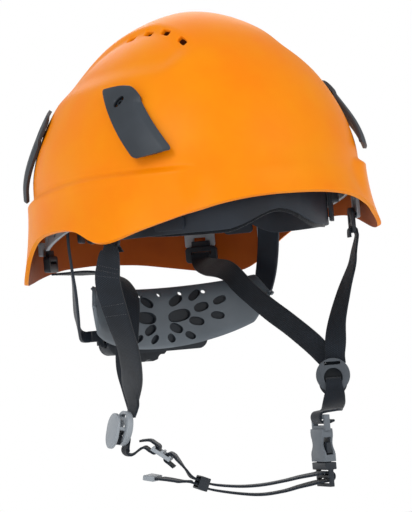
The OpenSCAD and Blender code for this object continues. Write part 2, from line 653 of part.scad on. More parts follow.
module strap_rear_right() {
  color([0.07, 0.08, 0.1]) webbing(
    [[-61.4, 106.2, -34], [-57, 94, -34.8], [-50, 76, -35.4], [-43, 60, -38.6],
     [-41.5, 47, -44.6], [-44.6, 38, -58], [-51.4, 32, -82], [-57, 27, -102],
     [-58.6, 23, -119], [-59.8, 18.8, -134]],
    [[0.95, 0.3, 0], [0.93, 0.33, -0.1], [0.9, 0.35, -0.15], [0.88, 0.3, -0.2],
     [0.86, 0.25, -0.3], [0.86, -0.2, -0.15], [0.8, -0.55, 0.1], [0.6, -0.75, 0.2],
     [0.2, -0.94, 0.2], [-0.1, -0.99, 0]],
    [16, 16, 16, 16, 16, 16, 16, 16, 15, 13]);
}
// ring body of a strap divider, with a web slot over a round window
module divider() {
  rotate([90, 0, 0]) linear_extrude(height = 4.4, center = true) difference() {
    circle(r = 12, $fn = 48);
    translate([0, -1.6]) circle(r = 6.6, $fn = 40);
    translate([0, 8.4]) square([11.4, 2.2], center = true);
  }
}
module slider_left() {
  color([0.3, 0.33, 0.36]) translate(slider_left_at) rotate(slider_left_turn) divider();
}
module slider_right() {
  color([0.3, 0.33, 0.36]) translate(slider_right_at) rotate(slider_right_turn) divider();
}
// oval face plate on two posts, side = -1 in front of the ring, 1 behind it
module divider_face(side) {
  translate([0, side * 7.6, -3]) rotate([90, 0, 0])
    linear_extrude(height = 1.8, center = true) {
      for (s = [-1, 1]) translate([0, s * 2.4]) circle(r = 10, $fn = 48);
      square([20, 4.8], center = true);
    }
  for (x = [-8.6, 8.6]) translate([x, side * 4.55, -1]) rotate([90, 0, 0])
    cylinder(r = 1.3, h = 4.7, center = true, $fn = 20);
}
module slider_face_right() {
  color([0.66, 0.69, 0.71]) translate(slider_right_at) rotate(slider_right_turn)
    divider_face(-1);
}
module slider_face_left() {
  color([0.3, 0.33, 0.36]) translate(slider_left_at) rotate(slider_left_turn)
    divider_face(1);
}
// turn of a lower strap through the round window, from one face to the other
function ring_turn(at, r, side) = [for (q = [[-3.7, -12], [-3.6, -7.4], [-2.5, -3.8],
  [0, -2.4], [2.5, -3.8], [3.6, -7.4], [3.7, -12.6]])
  placed(at, r, [0, -side * q[0], q[1]])];
// turn of the strap end round the web bar in the top of the buckle
function bar_turn(list) = [for (q = list) placed(buckle_at, buckle_turn, [q[0], 0, q[1]])];
module lower_strap_left() {
  across = turned(slider_left_turn, [1, 0, 0]);
  bar = turned(buckle_turn, [0, -1, 0]);
  color([0.07, 0.08, 0.1]) webbing(
    concat(ring_turn(slider_left_at, slider_left_turn, 1),
      [[66, -45.4, -141], [58.6, -53, -145.2]],
      bar_turn([[8, 26.6], [2, 26.2], [-1.8, 25.5], [-3.3, 23], [-2.8, 20.2], [0, 18.6],
        [3.4, 18.6], [7.4, 19.8]])),
    concat([for (i = [0:6]) across], [[0.75, -0.66, 0], [0.45, -0.89, 0]],
      [for (i = [0:7]) bar]),
    [10.6, 10.6, 10.6, 10.6, 10.6, 11.6, 14, 16, 15.6, 14.6, 14.4, 14.4, 14.4, 14.4,
     14.4, 14.4, 14.4], 4);
}
// strap from the right divider round the outer bar of the tri-glide and back
function glide_points(list) =
  [for (q = list) placed(tri_glide_at, tri_glide_turn, [q[0], 0, q[1]])];
module lower_strap_right() {
  across = turned(slider_right_turn, [1, 0, 0]);
  bar = turned(tri_glide_turn, [0, -1, 0]);
  color([0.07, 0.08, 0.1]) webbing(
    concat(ring_turn(slider_right_at, slider_right_turn, -1),
      [[-70.4, 14.2, -162.4], [-67.4, 10.4, -164.2]],
      glide_points([[-13, -3.2], [-8, -2.7], [-4.3, -2.3], [-3.3, 0.4], [-4.3, 3.3],
        [-8, 3.6], [-12, 3.4]]), [[-63.4, 4.6, -155.4]]),
    concat([for (i = [0:6]) across], [[-0.05, -1, 0], [-0.45, -0.89, 0]],
      [for (i = [0:7]) bar]),
    [10.6, 10.6, 10.6, 10.6, 10.6, 10.6, 10.6, 10.6, 12, 13.6, 14.4, 14.4, 14.4, 14.4,
     14.4, 14, 13], 4);
}
module tri_glide() {
  color([0.6, 0.63, 0.66]) translate(tri_glide_at) rotate(tri_glide_turn) difference() {
    union() {
      cube([15, 22, 2.6], center = true);
      for (x = [-6.4, 0, 6.4]) translate([x, 0, 1.6]) cube([1.6, 21, 1.6], center = true);
    }
    for (x = [-3.3, 3.3]) translate([x, 0, 0]) cube([3, 17, 6], center = true);
  }
}
// chin strap: sewn end on the tri-glide, keeper, plug bar, keeper again, tail
function keeper_points(list) =
  [for (q = list) placed(keeper_at, keeper_turn, [q[0], 0, q[1]])];
chin_route = concat(
  glide_points([[12, -3.4], [8, -2.8], [4.3, -2.3], [3.3, 0.4], [4.3, 3.3], [7.6, 3.7],
    [11, 2.4]]),
  [[-41.6, -14, -176.4]], keeper_points([[-8, 1.8], [0, 1.7], [8, 1.8]]),
  [[-8, -29, -192.4], [6, -36, -192.8], [18, -44, -191.4], [27, -52.6, -189.4]],
  bar_turn([[-7, -16], [-1.5, -15.4], [2.6, -16], [3.9, -18.4], [2.6, -20.8],
    [-1.5, -21.4], [-7, -21.8]]),
  [[27, -52.4, -195.8], [18, -43.6, -198.4], [6, -35.4, -199.4], [-8, -28.6, -197.4]],
  keeper_points([[8, -1.9], [0, -1.7], [-8, -1.8]]),
  [[-43.6, -10.4, -185.4], [-48.4, -2, -183.6], [-51.6, 3.5, -182.6]]);
chin_across = concat([for (i = [0:6]) [0.616, 0.788, 0]], [[0.5, 0.87, 0]],
  [for (i = [0:2]) [0.375, 0.927, 0]],
  [[0.42, 0.91, 0], [0.48, 0.88, 0], [0.5, 0.87, 0], [0.36, 0.93, 0]],
  [for (i = [0:6]) [0.156, 0.988, 0]],
  [[0.36, 0.93, 0], [0.5, 0.87, 0], [0.48, 0.88, 0], [0.42, 0.91, 0]],
  [for (i = [0:2]) [0.375, 0.927, 0]], [[0.6, 0.8, 0], [0.75, 0.66, 0], [0.79, 0.61, 0]]);
module chin_strap() {
  color([0.07, 0.08, 0.1]) webbing(chin_route, chin_across, 14.6, 3);
}
module strap_tip() {
  color([0.64, 0.67, 0.7]) translate([-54.9, 7.6, -181.8]) rotate([0, 0, 128])
    rotate([0, -12, 0]) cube([8.4, 16.6, 3.6], center = true);
}
module keeper_loop() {
  color([0.12, 0.13, 0.15]) translate(keeper_at) rotate(keeper_turn) difference() {
    cube([7, 20.6, 9.4], center = true);
    cube([8, 18, 7], center = true);
  }
}

// ---------- side-release buckle ----------
// the broad faces of the buckle look left and right, its length runs along Z
module buckle_frame() {
  translate(buckle_at) rotate(buckle_turn) children();
}
// plate in the buckle's own plane, drawn across and up, of a given thickness
module buckle_plate(t) {
  rotate([90, 0, 90]) linear_extrude(height = t, center = true) children();
}
socket_side = [[11, -8], [11, -3], [10.2, -1], [8.3, 1.4], [7.6, 3.4], [7.6, 5],
  [8.2, 7.2], [9.2, 9.4], [9.4, 12], [9, 14.5]];
// upper half, a sleeve open below, waisted where the prongs are pressed
module buckle_socket() {
  color([0.4, 0.43, 0.46]) buckle_frame() difference() {
    union() {
      buckle_plate(buckle_wall) polygon(concat(socket_side,
        [for (q = reversed(socket_side)) [-q[0], q[1]]]));
      buckle_plate(4) for (s = [-1, 1]) translate([s * (buckle_width / 2 - 1.3), 18.8])
        square([2.6, 11], center = true);
      buckle_plate(4) translate([0, 15.2]) square([buckle_width, 3], center = true);
      buckle_plate(4) translate([0, 22.7]) square([buckle_width, 3.2], center = true);
    }
    translate([0, 0, 0.6]) cube([buckle_wall - 3.2, buckle_width - 4.4, 20], center = true);
    for (s = [-1, 1]) translate([0, s * buckle_width / 2, 1.4])
      cube([buckle_wall - 3.2, 9, 9.4], center = true);
  }
}
// lower half with the guide tongue, the web bar and the end bar
module buckle_plug() {
  color([0.13, 0.14, 0.16]) buckle_frame() {
    difference() {
      translate([0, 0, -11.1]) cube([buckle_wall, buckle_width, 5], center = true);
      for (s = [-1, 1]) translate([0, s * 6.9, -10])
        cube([buckle_wall - 4.4, 3.8, 4.4], center = true);
    }
    translate([0, 0, -3.2]) cube([buckle_wall - 4.6, 3.4, 12], center = true);
    for (s = [-1, 1]) translate([0, s * (buckle_width / 2 - 1.3), -19.2])
      cube([3.2, 2.6, 12.4], center = true);
    translate([0, 0, -18.4]) cube([3.2, buckle_width - 1, 2.4], center = true);
    translate([0, 0, -24.3]) cube([3.2, buckle_width, 2.2], center = true);
  }
}
// spring prong of the plug, its shoulder shows in the waist of the socket
module prong(s) {
  buckle_frame() {
    translate([0, s * 6.9, -3]) cube([buckle_wall - 5, 2.4, 16.4], center = true);
    translate([0, s * 8.8, 1.4]) cube([buckle_wall - 5, 3.6, 7], center = true);
  }
}
module buckle_prong_front() { color([0.13, 0.14, 0.16]) prong(-1); }
module buckle_prong_rear() { color([0.13, 0.14, 0.16]) prong(1); }

// ---------- assembly ----------
shell();
lamp_clip_front_left();
lamp_clip_front_right();
lamp_clip_rear_left();
lamp_clip_rear_right();
clip_retainers();
suspension_rail_left();
suspension_rail_right();
cradle_keys();
cradle_strap_front_left();
cradle_strap_front_right();
cradle_strap_across();
crown_pad();
headband();
brow_pad();
headband_hangers();
headband_arm_left();
headband_arm_right();
nape_pad();
ratchet_housing();
ratchet_cover();
housing_screws();
ratchet_knob();
pinion();
rack_left();
rack_right();
click_spring();
strap_clip_front_left();
strap_clip_front_right();
strap_hook_front_left();
strap_hook_front_right();
strap_clip_rear_left();
strap_clip_rear_right();
strap_block_rear_left();
strap_block_rear_right();
strap_front_left();
strap_front_right();
strap_rear_left();
strap_rear_right();
slider_left();
slider_right();
slider_face_left();
slider_face_right();
lower_strap_left();
lower_strap_right();
tri_glide();
chin_strap();
strap_tip();
keeper_loop();
buckle_socket();
buckle_plug();
buckle_prong_front();
buckle_prong_rear();
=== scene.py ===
# %% [markdown]
# # A climbing helmet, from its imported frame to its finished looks
# The frame holds every rigid part at its true size, already on its moving
# body. We keep that geometry as the measure of everything, and give each piece
# the surface that a moulder, a weaver or a sewing room would give it.

# %% Load the frame and the tools
import bpy
import bmesh
import math
from mathutils import Vector, Matrix, Euler
from mathutils.bvhtree import BVHTree


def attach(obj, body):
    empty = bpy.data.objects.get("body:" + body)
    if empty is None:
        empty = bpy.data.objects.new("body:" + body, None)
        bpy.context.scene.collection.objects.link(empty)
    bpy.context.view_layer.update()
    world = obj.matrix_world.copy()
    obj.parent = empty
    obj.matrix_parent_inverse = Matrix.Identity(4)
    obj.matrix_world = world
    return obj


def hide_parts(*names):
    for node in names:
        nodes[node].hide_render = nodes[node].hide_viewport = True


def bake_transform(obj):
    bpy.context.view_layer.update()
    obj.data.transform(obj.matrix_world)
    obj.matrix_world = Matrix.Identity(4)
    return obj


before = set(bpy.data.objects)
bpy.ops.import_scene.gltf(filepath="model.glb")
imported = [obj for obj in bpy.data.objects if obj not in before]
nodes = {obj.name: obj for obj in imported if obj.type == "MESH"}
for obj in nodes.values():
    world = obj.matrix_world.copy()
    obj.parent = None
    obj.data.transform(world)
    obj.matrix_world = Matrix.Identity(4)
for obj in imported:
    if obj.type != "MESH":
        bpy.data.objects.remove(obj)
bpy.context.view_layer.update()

MM = 0.001

# %% [markdown]
# The helmet hangs in the air a little above eye level and is seen from its
# front right. A long lens keeps the rim and the straps nearly parallel, so
# the camera stands almost two metres away. Its three axes are written out,
# because a roll is easier to hold that way than with angles.

# %% Camera
eye_at = Vector((-991.77, -1579.24, -79.42)) * MM
look_dir = Vector((0.53126, 0.84681, 0.02586))
look_up = Vector((0.05682, -0.06607, 0.9962))
look_right = look_dir.cross(look_up).normalized()
eye = bpy.data.cameras.new("camera")
eye.sensor_fit = "VERTICAL"
eye.sensor_height = eye.sensor_width = 36
eye.lens = 186.53
eye.clip_start, eye.clip_end = 0.05, 60
camera = bpy.data.objects.new("camera", eye)
camera.matrix_world = Matrix.Translation(eye_at) @ Matrix(
    (look_right, look_up, -look_dir)).transposed().to_4x4()
bpy.context.collection.objects.link(camera)
bpy.context.scene.camera = camera
print("camera stands", round(eye_at.length, 3), "m from the head opening")

# %% [markdown]
# A finish is a small tree of nodes. Every finish here starts from the same few moves: a slow
# cloud that shifts the colour, a fine grain that breaks the gloss and lifts the surface, and a
# lighter tone on sharp outer edges that paints in an edge highlight. One helper wires those
# moves, so that each plastic only states its own numbers.

# %% Helpers for node trees
def node(tree, kind, **values):
    made = tree.nodes.new(kind)
    for key, value in values.items():
        if key in made.inputs:
            made.inputs[key].default_value = value
        else:
            setattr(made, key, value)
    return made


def wire(tree, a, out, b, to):
    tree.links.new(a.outputs[out], b.inputs[to])


def start_finish(name, rough):
    mat = bpy.data.materials.new(name)
    mat.use_nodes = True
    tree = mat.node_tree
    skin = tree.nodes["Principled BSDF"]
    skin.inputs["Roughness"].default_value = rough
    return mat, tree, skin


def linear(hex_code):
    parts = [int(hex_code[i:i + 2], 16) / 255 for i in (0, 2, 4)]
    return [p / 12.92 if p <= 0.04045 else ((p + 0.055) / 1.055) ** 2.4
            for p in parts] + [1]


def maths(tree, first, second, kind="ADD", by=None):
    made = node(tree, "ShaderNodeMath", operation=kind)
    tree.links.new(first, made.inputs[0])
    if second is None:
        made.inputs[1].default_value = by
    else:
        tree.links.new(second, made.inputs[1])
    return made.outputs[0]


print("mid grey is", round(linear("808080")[0], 3), "in linear light")

# %% [markdown]
# Two moves come back in every finish. One stretches a range of a noise until
# it covers the whole of another range, and one mixes two colours.

# %% Ramps and pairs of colours
def ramp(tree, source, out, low, high, to_low=0.0, to_high=1.0):
    """stretch the range low to high of one output over another range"""
    made = node(tree, "ShaderNodeMapRange", clamp=True)
    for key, value in (("From Min", low), ("From Max", high), ("To Min", to_low),
                       ("To Max", to_high)):
        made.inputs[key].default_value = value
    wire(tree, source, out, made, "Value")
    return made


def two_tone(tree, first, second):
    tone = node(tree, "ShaderNodeMix", data_type="RGBA")
    tone.inputs["A"].default_value = linear(first)
    tone.inputs["B"].default_value = linear(second)
    return tone


print("a ramp and a pair of colours can be made in one call each")

# %% [markdown]
# Moulded plastic takes its look from the steel of the mould. Spark-eroded
# steel leaves a grain of a few tenths of a millimetre, polished steel leaves
# almost none. The grain drives both the bump and a slight change in gloss.

# %% Moulded plastic
def moulded(name, dark, light, rough, grain=0.35, lift=0.05, edge_highlight=0.12, coat=0.0, shine=0.4):
    mat, tree, skin = start_finish(name, rough)
    where = node(tree, "ShaderNodeTexCoord")
    cloud = node(tree, "ShaderNodeTexNoise", Scale=26, Detail=3, Roughness=0.55)
    wire(tree, where, "Object", cloud, "Vector")
    tone = two_tone(tree, dark, light)
    wire(tree, ramp(tree, cloud, "Fac", 0.32, 0.68), "Result", tone, "Factor")
    fine = node(tree, "ShaderNodeTexNoise", Scale=1 / (grain * MM), Detail=2)
    wire(tree, where, "Object", fine, "Vector")
    shape = node(tree, "ShaderNodeNewGeometry")
    # painted highlight: sharp outer edges, found by pointiness, get a lighter colour
    edge_highlight_mask = ramp(tree, shape, "Pointiness", 0.52, 0.66, 0.0, edge_highlight)
    edge_highlighted = node(tree, "ShaderNodeMix", data_type="RGBA")
    edge_highlighted.inputs["B"].default_value = [min(1, c * 1.6 + 0.06) for c in linear(light)[:3]] + [1]
    wire(tree, tone, "Result", edge_highlighted, "A")
    wire(tree, edge_highlight_mask, "Result", edge_highlighted, "Factor")
    wire(tree, edge_highlighted, "Result", skin, "Base Color")
    gloss = ramp(tree, fine, "Fac", 0.3, 0.7, rough - 0.05, rough + 0.07)
    wire(tree, gloss, "Result", skin, "Roughness")
    bump = node(tree, "ShaderNodeBump", Strength=lift, Distance=0.15 * MM)
    wire(tree, fine, "Fac", bump, "Height")
    wire(tree, bump, "Normal", skin, "Normal")
    skin.inputs["Specular IOR Level"].default_value = shine
    skin.inputs["Coat Weight"].default_value = coat
    skin.inputs["Coat Roughness"].default_value = 0.2
    return mat


shell_orange = moulded("shell_orange", "FF8A00", "FF9400", 0.44, 0.5, 0.03, 0.1, 0.0, 0.14)
# painted shade: the inside is the same orange plastic, coloured darker for the shadow that
# falls in it
shell_inside_painted_shade = moulded("shell_inside_painted_shade", "9A4200", "AA4E00", 0.6, 0.8, 0.06, 0.1, 0.0, 0.2)
slate_clip = moulded("slate_clip", "2E343B", "383F47", 0.5, 0.3, 0.08, 0.3)
nape_grey = moulded("nape_grey", "5A636B", "6A737B", 0.42, 0.5, 0.05, 0.2, 0.0, 0.5)
grey_moulding = moulded("grey_moulding", "4A5057", "575E66", 0.48, 0.35, 0.08, 0.2)
pale_moulding = moulded("pale_moulding", "8D949B", "A3AAB1", 0.4, 0.4, 0.05, 0.2)
black_moulding = moulded("black_moulding", "141920", "212932", 0.46, 0.35, 0.08, 0.25)
dark_band = moulded("dark_band", "1B222C", "27303C", 0.5, 0.4, 0.06, 0.2)
bar_grey = moulded("bar_grey", "5C636A", "6B727A", 0.45, 0.35, 0.06, 0.25)
print("nine moulded finishes")

# %% [markdown]
# Polyester webbing is a plain weave seen very close: raised picks cross the
# strap in rows, and each row is shifted by half a pick from the next. The
# strap carries its own map in metres, along and across, so the picks keep
# their true size round every bend.

# %% Woven webbing
def woven(name, dark, light, pick=1.3, row=1.1):
    """pick is the length of one stitch of the weave, row the width of a row, in mm"""
    mat, tree, skin = start_finish(name, 0.82)
    map_in = node(tree, "ShaderNodeUVMap", uv_map="weave")
    split = node(tree, "ShaderNodeSeparateXYZ")
    wire(tree, map_in, "UV", split, "Vector")
    rows = maths(tree, split.outputs["Y"], None, "MULTIPLY", 1 / (row * MM))
    row_no = node(tree, "ShaderNodeMath", operation="FLOOR")
    tree.links.new(rows, row_no.inputs[0])
    shift = maths(tree, row_no.outputs[0], None, "MULTIPLY", math.pi)
    along = maths(tree, split.outputs["X"], None, "MULTIPLY", 2 * math.pi / (pick * MM))
    wave = node(tree, "ShaderNodeMath", operation="SINE")
    tree.links.new(maths(tree, along, shift), wave.inputs[0])
    in_row = node(tree, "ShaderNodeMath", operation="FRACT")
    tree.links.new(rows, in_row.inputs[0])
    arch = node(tree, "ShaderNodeMath", operation="SINE")
    tree.links.new(maths(tree, in_row.outputs[0], None, "MULTIPLY", math.pi), arch.inputs[0])
    up = maths(tree, wave.outputs[0], None, "MULTIPLY_ADD", 0.5)
    up.node.inputs[2].default_value = 0.5
    height = maths(tree, up, arch.outputs[0], "MULTIPLY")
    where = node(tree, "ShaderNodeTexCoord")
    cloud = node(tree, "ShaderNodeTexNoise", Scale=90, Detail=4)
    wire(tree, where, "Object", cloud, "Vector")
    fuzz = node(tree, "ShaderNodeTexNoise", Scale=4200, Detail=2)
    wire(tree, where, "Object", fuzz, "Vector")
    # painted light and shade: raised picks get the lighter colour and the grooves between them
    # the darker, scaled by a random cloud
    painted_pick_light_and_cloud = maths(tree, height, cloud.outputs["Fac"], "MULTIPLY")
    tone = two_tone(tree, dark, light)
    tree.links.new(maths(tree, painted_pick_light_and_cloud, None, "MULTIPLY", 1.7), tone.inputs["Factor"])
    wire(tree, tone, "Result", skin, "Base Color")
    total = maths(tree, fuzz.outputs["Fac"], None, "MULTIPLY_ADD", 0.35)
    tree.links.new(height, total.node.inputs[2])
    bump = node(tree, "ShaderNodeBump", Strength=0.5, Distance=0.25 * MM)
    tree.links.new(total, bump.inputs["Height"])
    wire(tree, bump, "Normal", skin, "Normal")
    skin.inputs["Sheen Weight"].default_value = 0.25
    skin.inputs["Sheen Roughness"].default_value = 0.45
    skin.inputs["Specular IOR Level"].default_value = 0.3
    return mat


strap_weave = woven("strap_weave", "11161C", "2C3541")
cradle_weave = woven("cradle_weave", "12171D", "2B333D", 1.1, 1.4)
print("two woven finishes")

# %% [markdown]
# The brow and crown pads are foam under a brushed knit. The knit shows as a
# soft cell pattern with a matt, slightly hazy edge light. The thread of the
# seams is a twisted yarn, and the screws and spring are bright brushed steel.

# %% Knit, thread and steel
def knit(name, dark, light, cell=1.1):
    mat, tree, skin = start_finish(name, 0.95)
    where = node(tree, "ShaderNodeTexCoord")
    cells = node(tree, "ShaderNodeTexVoronoi", Scale=1 / (cell * MM), feature="SMOOTH_F1")
    cloud = node(tree, "ShaderNodeTexNoise", Scale=70, Detail=4)
    wire(tree, where, "Object", cells, "Vector")
    wire(tree, where, "Object", cloud, "Vector")
    # painted shade: the grooves between the knit's cells get the darker colour, mixed with a
    # random cloud; raised cell centres stay lighter
    tone = two_tone(tree, light, dark)
    depth = maths(tree, cells.outputs["Distance"], cloud.outputs["Fac"])
    wire(tree, depth.node, 0, tone, "Factor")
    wire(tree, tone, "Result", skin, "Base Color")
    bump = node(tree, "ShaderNodeBump", Strength=0.6, Distance=0.3 * MM, invert=True)
    wire(tree, cells, "Distance", bump, "Height")
    wire(tree, bump, "Normal", skin, "Normal")
    skin.inputs["Sheen Weight"].default_value = 0.5
    skin.inputs["Specular IOR Level"].default_value = 0.2
    return mat


def brushed_steel(name):
    mat, tree, skin = start_finish(name, 0.3)
    where = node(tree, "ShaderNodeTexCoord")
    stretch = node(tree, "ShaderNodeMapping")
    stretch.inputs["Scale"].default_value = (400, 400, 6000)
    wire(tree, where, "Object", stretch, "Vector")
    lines = node(tree, "ShaderNodeTexNoise", Scale=1, Detail=3)
    wire(tree, stretch, "Vector", lines, "Vector")
    tone = two_tone(tree, "8E9296", "C9CCCF")
    wire(tree, lines, "Fac", tone, "Factor")
    wire(tree, tone, "Result", skin, "Base Color")
    bump = node(tree, "ShaderNodeBump", Strength=0.15, Distance=0.05 * MM)
    wire(tree, lines, "Fac", bump, "Height")
    wire(tree, bump, "Normal", skin, "Normal")
    skin.inputs["Metallic"].default_value = 1.0
    return mat


pad_knit = knit("pad_knit", "0F1319", "232A35")
seam_thread = knit("seam_thread", "2B2F36", "4A4F58", 0.4)
spring_steel = brushed_steel("spring_steel")
print("knit, thread and steel")

# %% [markdown]
# Most small parts keep the geometry of the frame. Their edges are razor
# sharp there, and no moulding has such edges. We copy each mesh, merge its
# loose triangles into flat faces, and round every hard edge by a few tenths
# of a millimetre, so that edges catch the light.

# %% Pieces with moulded edges
def show(piece, body, slot_name, finish, replaced=()):
    if finish:
        piece.data.materials.clear()
        piece.data.materials.append(finish)
    if piece.name not in bpy.context.collection.objects:
        bpy.context.collection.objects.link(piece)
    if body:
        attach(piece, body)
    if replaced:
        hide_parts(*replaced)
    return piece


def merged_copy(name, angle=0.6):
    bm = bmesh.new()
    bm.from_mesh(nodes[name].data)
    bmesh.ops.remove_doubles(bm, verts=bm.verts, dist=2e-6)
    bmesh.ops.dissolve_limit(bm, angle_limit=math.radians(angle), verts=bm.verts,
                             edges=bm.edges, use_dissolve_boundaries=False)
    mesh = bpy.data.meshes.new(name + "_moulded")
    bm.to_mesh(mesh)
    bm.free()
    return mesh


def moulded_piece(name, body, slot_name, finish, radius=0.35, angle=32):
    mesh = merged_copy(name)
    mesh.shade_smooth()
    piece = bpy.data.objects.new(name + "_moulded", mesh)
    soft = piece.modifiers.new("edges", "BEVEL")
    soft.width, soft.segments = radius * MM, 2
    soft.limit_method, soft.angle_limit = "ANGLE", math.radians(angle)
    soft.harden_normals = True
    soft.use_clamp_overlap = True
    return show(piece, body, slot_name, finish, [name])


print("triangles in the frame:", sum(len(part.data.polygons) for part in nodes.values()))

# %% [markdown]
# The table gives each small part its body, its slot, its finish and the radius
# of its edges. A washer or a spring is rounded by a tenth or two of a
# millimetre, and what a finger presses or turns by more than half.

# %% The small parts
# name, body, slot, finish and the radius of its edges in mm
small_parts = [
    ("clip_retainers", "helmet", "spring_steel", spring_steel, 0.2),
    ("suspension_rail_left", "helmet", "pale_plastic", pale_moulding, 0.35),
    ("suspension_rail_right", "helmet", "pale_plastic", pale_moulding, 0.35),
    ("cradle_keys", "helmet", "grey_plastic", grey_moulding, 0.5),
    ("headband", "helmet", "black_plastic", dark_band, 0.5),
    ("headband_hangers", "helmet", "grey_plastic", dark_band, 0.5),
    ("strap_clip_front_left", "helmet", "pale_plastic", pale_moulding, 0.35),
    ("strap_clip_front_right", "helmet", "pale_plastic", pale_moulding, 0.35),
    ("strap_clip_rear_left", "helmet", "pale_plastic", pale_moulding, 0.35),
    ("strap_clip_rear_right", "helmet", "pale_plastic", pale_moulding, 0.35),
    ("strap_hook_front_left", "helmet", "black_plastic", black_moulding, 0.4),
    ("strap_hook_front_right", "helmet", "black_plastic", black_moulding, 0.4),
    ("strap_block_rear_left", "helmet", "black_plastic", black_moulding, 0.5),
    ("strap_block_rear_right", "helmet", "black_plastic", black_moulding, 0.5),
    ("slider_left", "helmet", "grey_plastic", grey_moulding, 0.7),
    ("slider_right", "helmet", "grey_plastic", pale_moulding, 0.7),
    ("slider_face_left", "helmet", "grey_plastic", black_moulding, 0.4),
    ("slider_face_right", "helmet", "pale_plastic", pale_moulding, 0.4),
    ("tri_glide", "helmet", "pale_plastic", pale_moulding, 0.4),
    ("strap_tip", "helmet", "pale_plastic", pale_moulding, 0.6),
    ("keeper_loop", "helmet", "black_plastic", black_moulding, 0.5),
    ("buckle_socket", "helmet", "grey_plastic", bar_grey, 0.6),
    ("ratchet_housing", "nape_unit", "black_plastic", black_moulding, 0.6),
    ("ratchet_cover", "nape_unit", "black_plastic", black_moulding, 0.5),
    ("housing_screws", "nape_unit", "spring_steel", spring_steel, 0.2),
    ("click_spring", "nape_unit", "spring_steel", spring_steel, 0.1),
    ("ratchet_knob", "knob", "black_plastic", black_moulding, 0.7),
    ("pinion", "knob", "pale_plastic", pale_moulding, 0.15),
    ("rack_left", "rack_l", "black_plastic", black_moulding, 0.2),
    ("rack_right", "rack_r", "black_plastic", black_moulding, 0.2),
    ("buckle_plug", "plug", "black_plastic", black_moulding, 0.5),
    ("buckle_prong_front", "prong_f", "black_plastic", black_moulding, 0.4),
    ("buckle_prong_rear", "prong_r", "black_plastic", black_moulding, 0.4),
]
for part in small_parts:
    moulded_piece(*part)
print(len(small_parts), "parts with moulded edges")

# %% [markdown]
# The dome is one surface. Its plan is a slightly squared oval, longer behind
# the head than in front, and every level is that oval made smaller. We write
# the surface as a function of the angle round the head and the level, then
# lay a fine grid of faces over it, so that light runs over it without facets.

# %% The dome as a function
half_width, front_len, rear_len = 105.4, 117.3, 146.4
dome_height, widest_z, wall = 113.1, 28.0, 3.0
crown_top = widest_z + dome_height
plan_power, dome_p, dome_q = 2.1, 1.66, 1.83


def smooth(v):
    c = min(1, max(0, v))
    return c * c * (3 - 2 * c)


def plan(phi, out=0.0):
    a = math.radians(phi)
    s, c = math.sin(a), math.cos(a)
    power = 2 / plan_power
    length = (front_len if c > 0 else rear_len) + out
    return (math.copysign(abs(s) ** power, s) * (half_width + out),
            -math.copysign(abs(c) ** power, c) * length)


def dome_raw(phi, z, out=0.0):
    t = min(1, max(0, (z - widest_z) / (dome_height + out)))
    k = max(0, 1 - t ** dome_p) ** (1 / dome_q)
    x, y = plan(phi, out)
    return Vector((x * k, y * k, z))


def scoop(p):
    """depth of the hollow that runs back along each side of the crest"""
    side = smooth((abs(p.x) - 33 - 0.12 * max(0, p.y + 20)) / 14)
    low = smooth((p.z - 86 + 0.05 * p.y) / 14)
    return 3.5 * side * low * smooth((p.y + 66) / 12) * (1 - smooth((p.y - 50) / 45))


def dome_point(phi, z, out=0.0):
    return dome_raw(phi, z, out - scoop(dome_raw(phi, z, out)))


def dome_normal(phi, z):
    across = dome_raw(phi + 1, z) - dome_raw(phi - 1, z)
    up = dome_raw(phi, z + 1.5) - dome_raw(phi, z - 1.5)
    return across.cross(up).normalized()


print("dome:", round(2 * half_width), "mm wide,", round(front_len + rear_len), "mm long,",
      round(dome_height), "mm above its widest level")

# %% [markdown]
# Below the dome a skirt steps out and flares to the rim. The rim rises over
# the brow, drops into a lobe over each ear, and drops again behind the ears.
# Its level is given at a few angles and eased between them.

# %% The skirt as a function
# angle from the brow in degrees, then level or flare in mm
rim_level = [(0, 4.6), (10, 4.4), (20, 3), (30, 0), (40, -5), (50, -10), (58, -14),
             (65, -19), (70, -20), (74, -17.5), (80, -10.5), (86, -7.5), (95, -7.5),
             (104, -10), (111, -17), (118, -28), (124, -38), (129, -41), (141, -38.5),
             (152, -34), (164, -29.5), (180, -27.5)]
rim_flare = [(0, 5), (20, 6), (40, 7.5), (52, 9), (60, 13), (66, 16.5), (72, 16.5),
             (80, 12.5), (90, 11), (110, 10), (127, 12), (150, 12), (180, 11)]


def folded(phi):
    m = phi % 360
    return 360 - m if m > 180 else m


def eased(table, phi):
    """mean of nine readings of a table, so that its corners are rounded"""
    total = 0
    for k in range(-4, 5):
        f = folded(phi + k * 0.9)
        hi = next(i for i, (a, _) in enumerate(table) if a >= f)
        (a0, v0), (a1, v1) = table[max(0, hi - 1)], table[hi]
        total += v0 if a1 == a0 else v0 + (v1 - v0) * (f - a0) / (a1 - a0)
    return total / 9


def step_out(phi):
    return 5 * smooth((folded(phi) - 34) / 9)


def ledge_level(phi):
    return min(widest_z - 0.5, 25.3 - 0.075 * plan(phi)[1])


def skirt_point(phi, s):
    top = ledge_level(phi) - 5
    out = step_out(phi) + (eased(rim_flare, phi) - step_out(phi)) * s ** 1.6
    x, y = plan(phi, out)
    return Vector((x, y, top + (eased(rim_level, phi) - top) * s))


def ledge_point(phi, s):
    x, y = plan(phi, step_out(phi) * smooth(s))
    start = min(widest_z, ledge_level(phi) + 1.5)
    return Vector((x, y, start + (ledge_level(phi) - 5 - start) * s))


print("rim runs from", rim_level[0][1], "mm at the brow to",
      min(level for _, level in rim_level), "mm behind the ears")

# %% [markdown]
# A flat grid is one call. Each of its points is then moved to its place on a
# surface, and points that meet there are merged. The grid can carry a map of
# its own, in metres, for a weave that follows the surface.

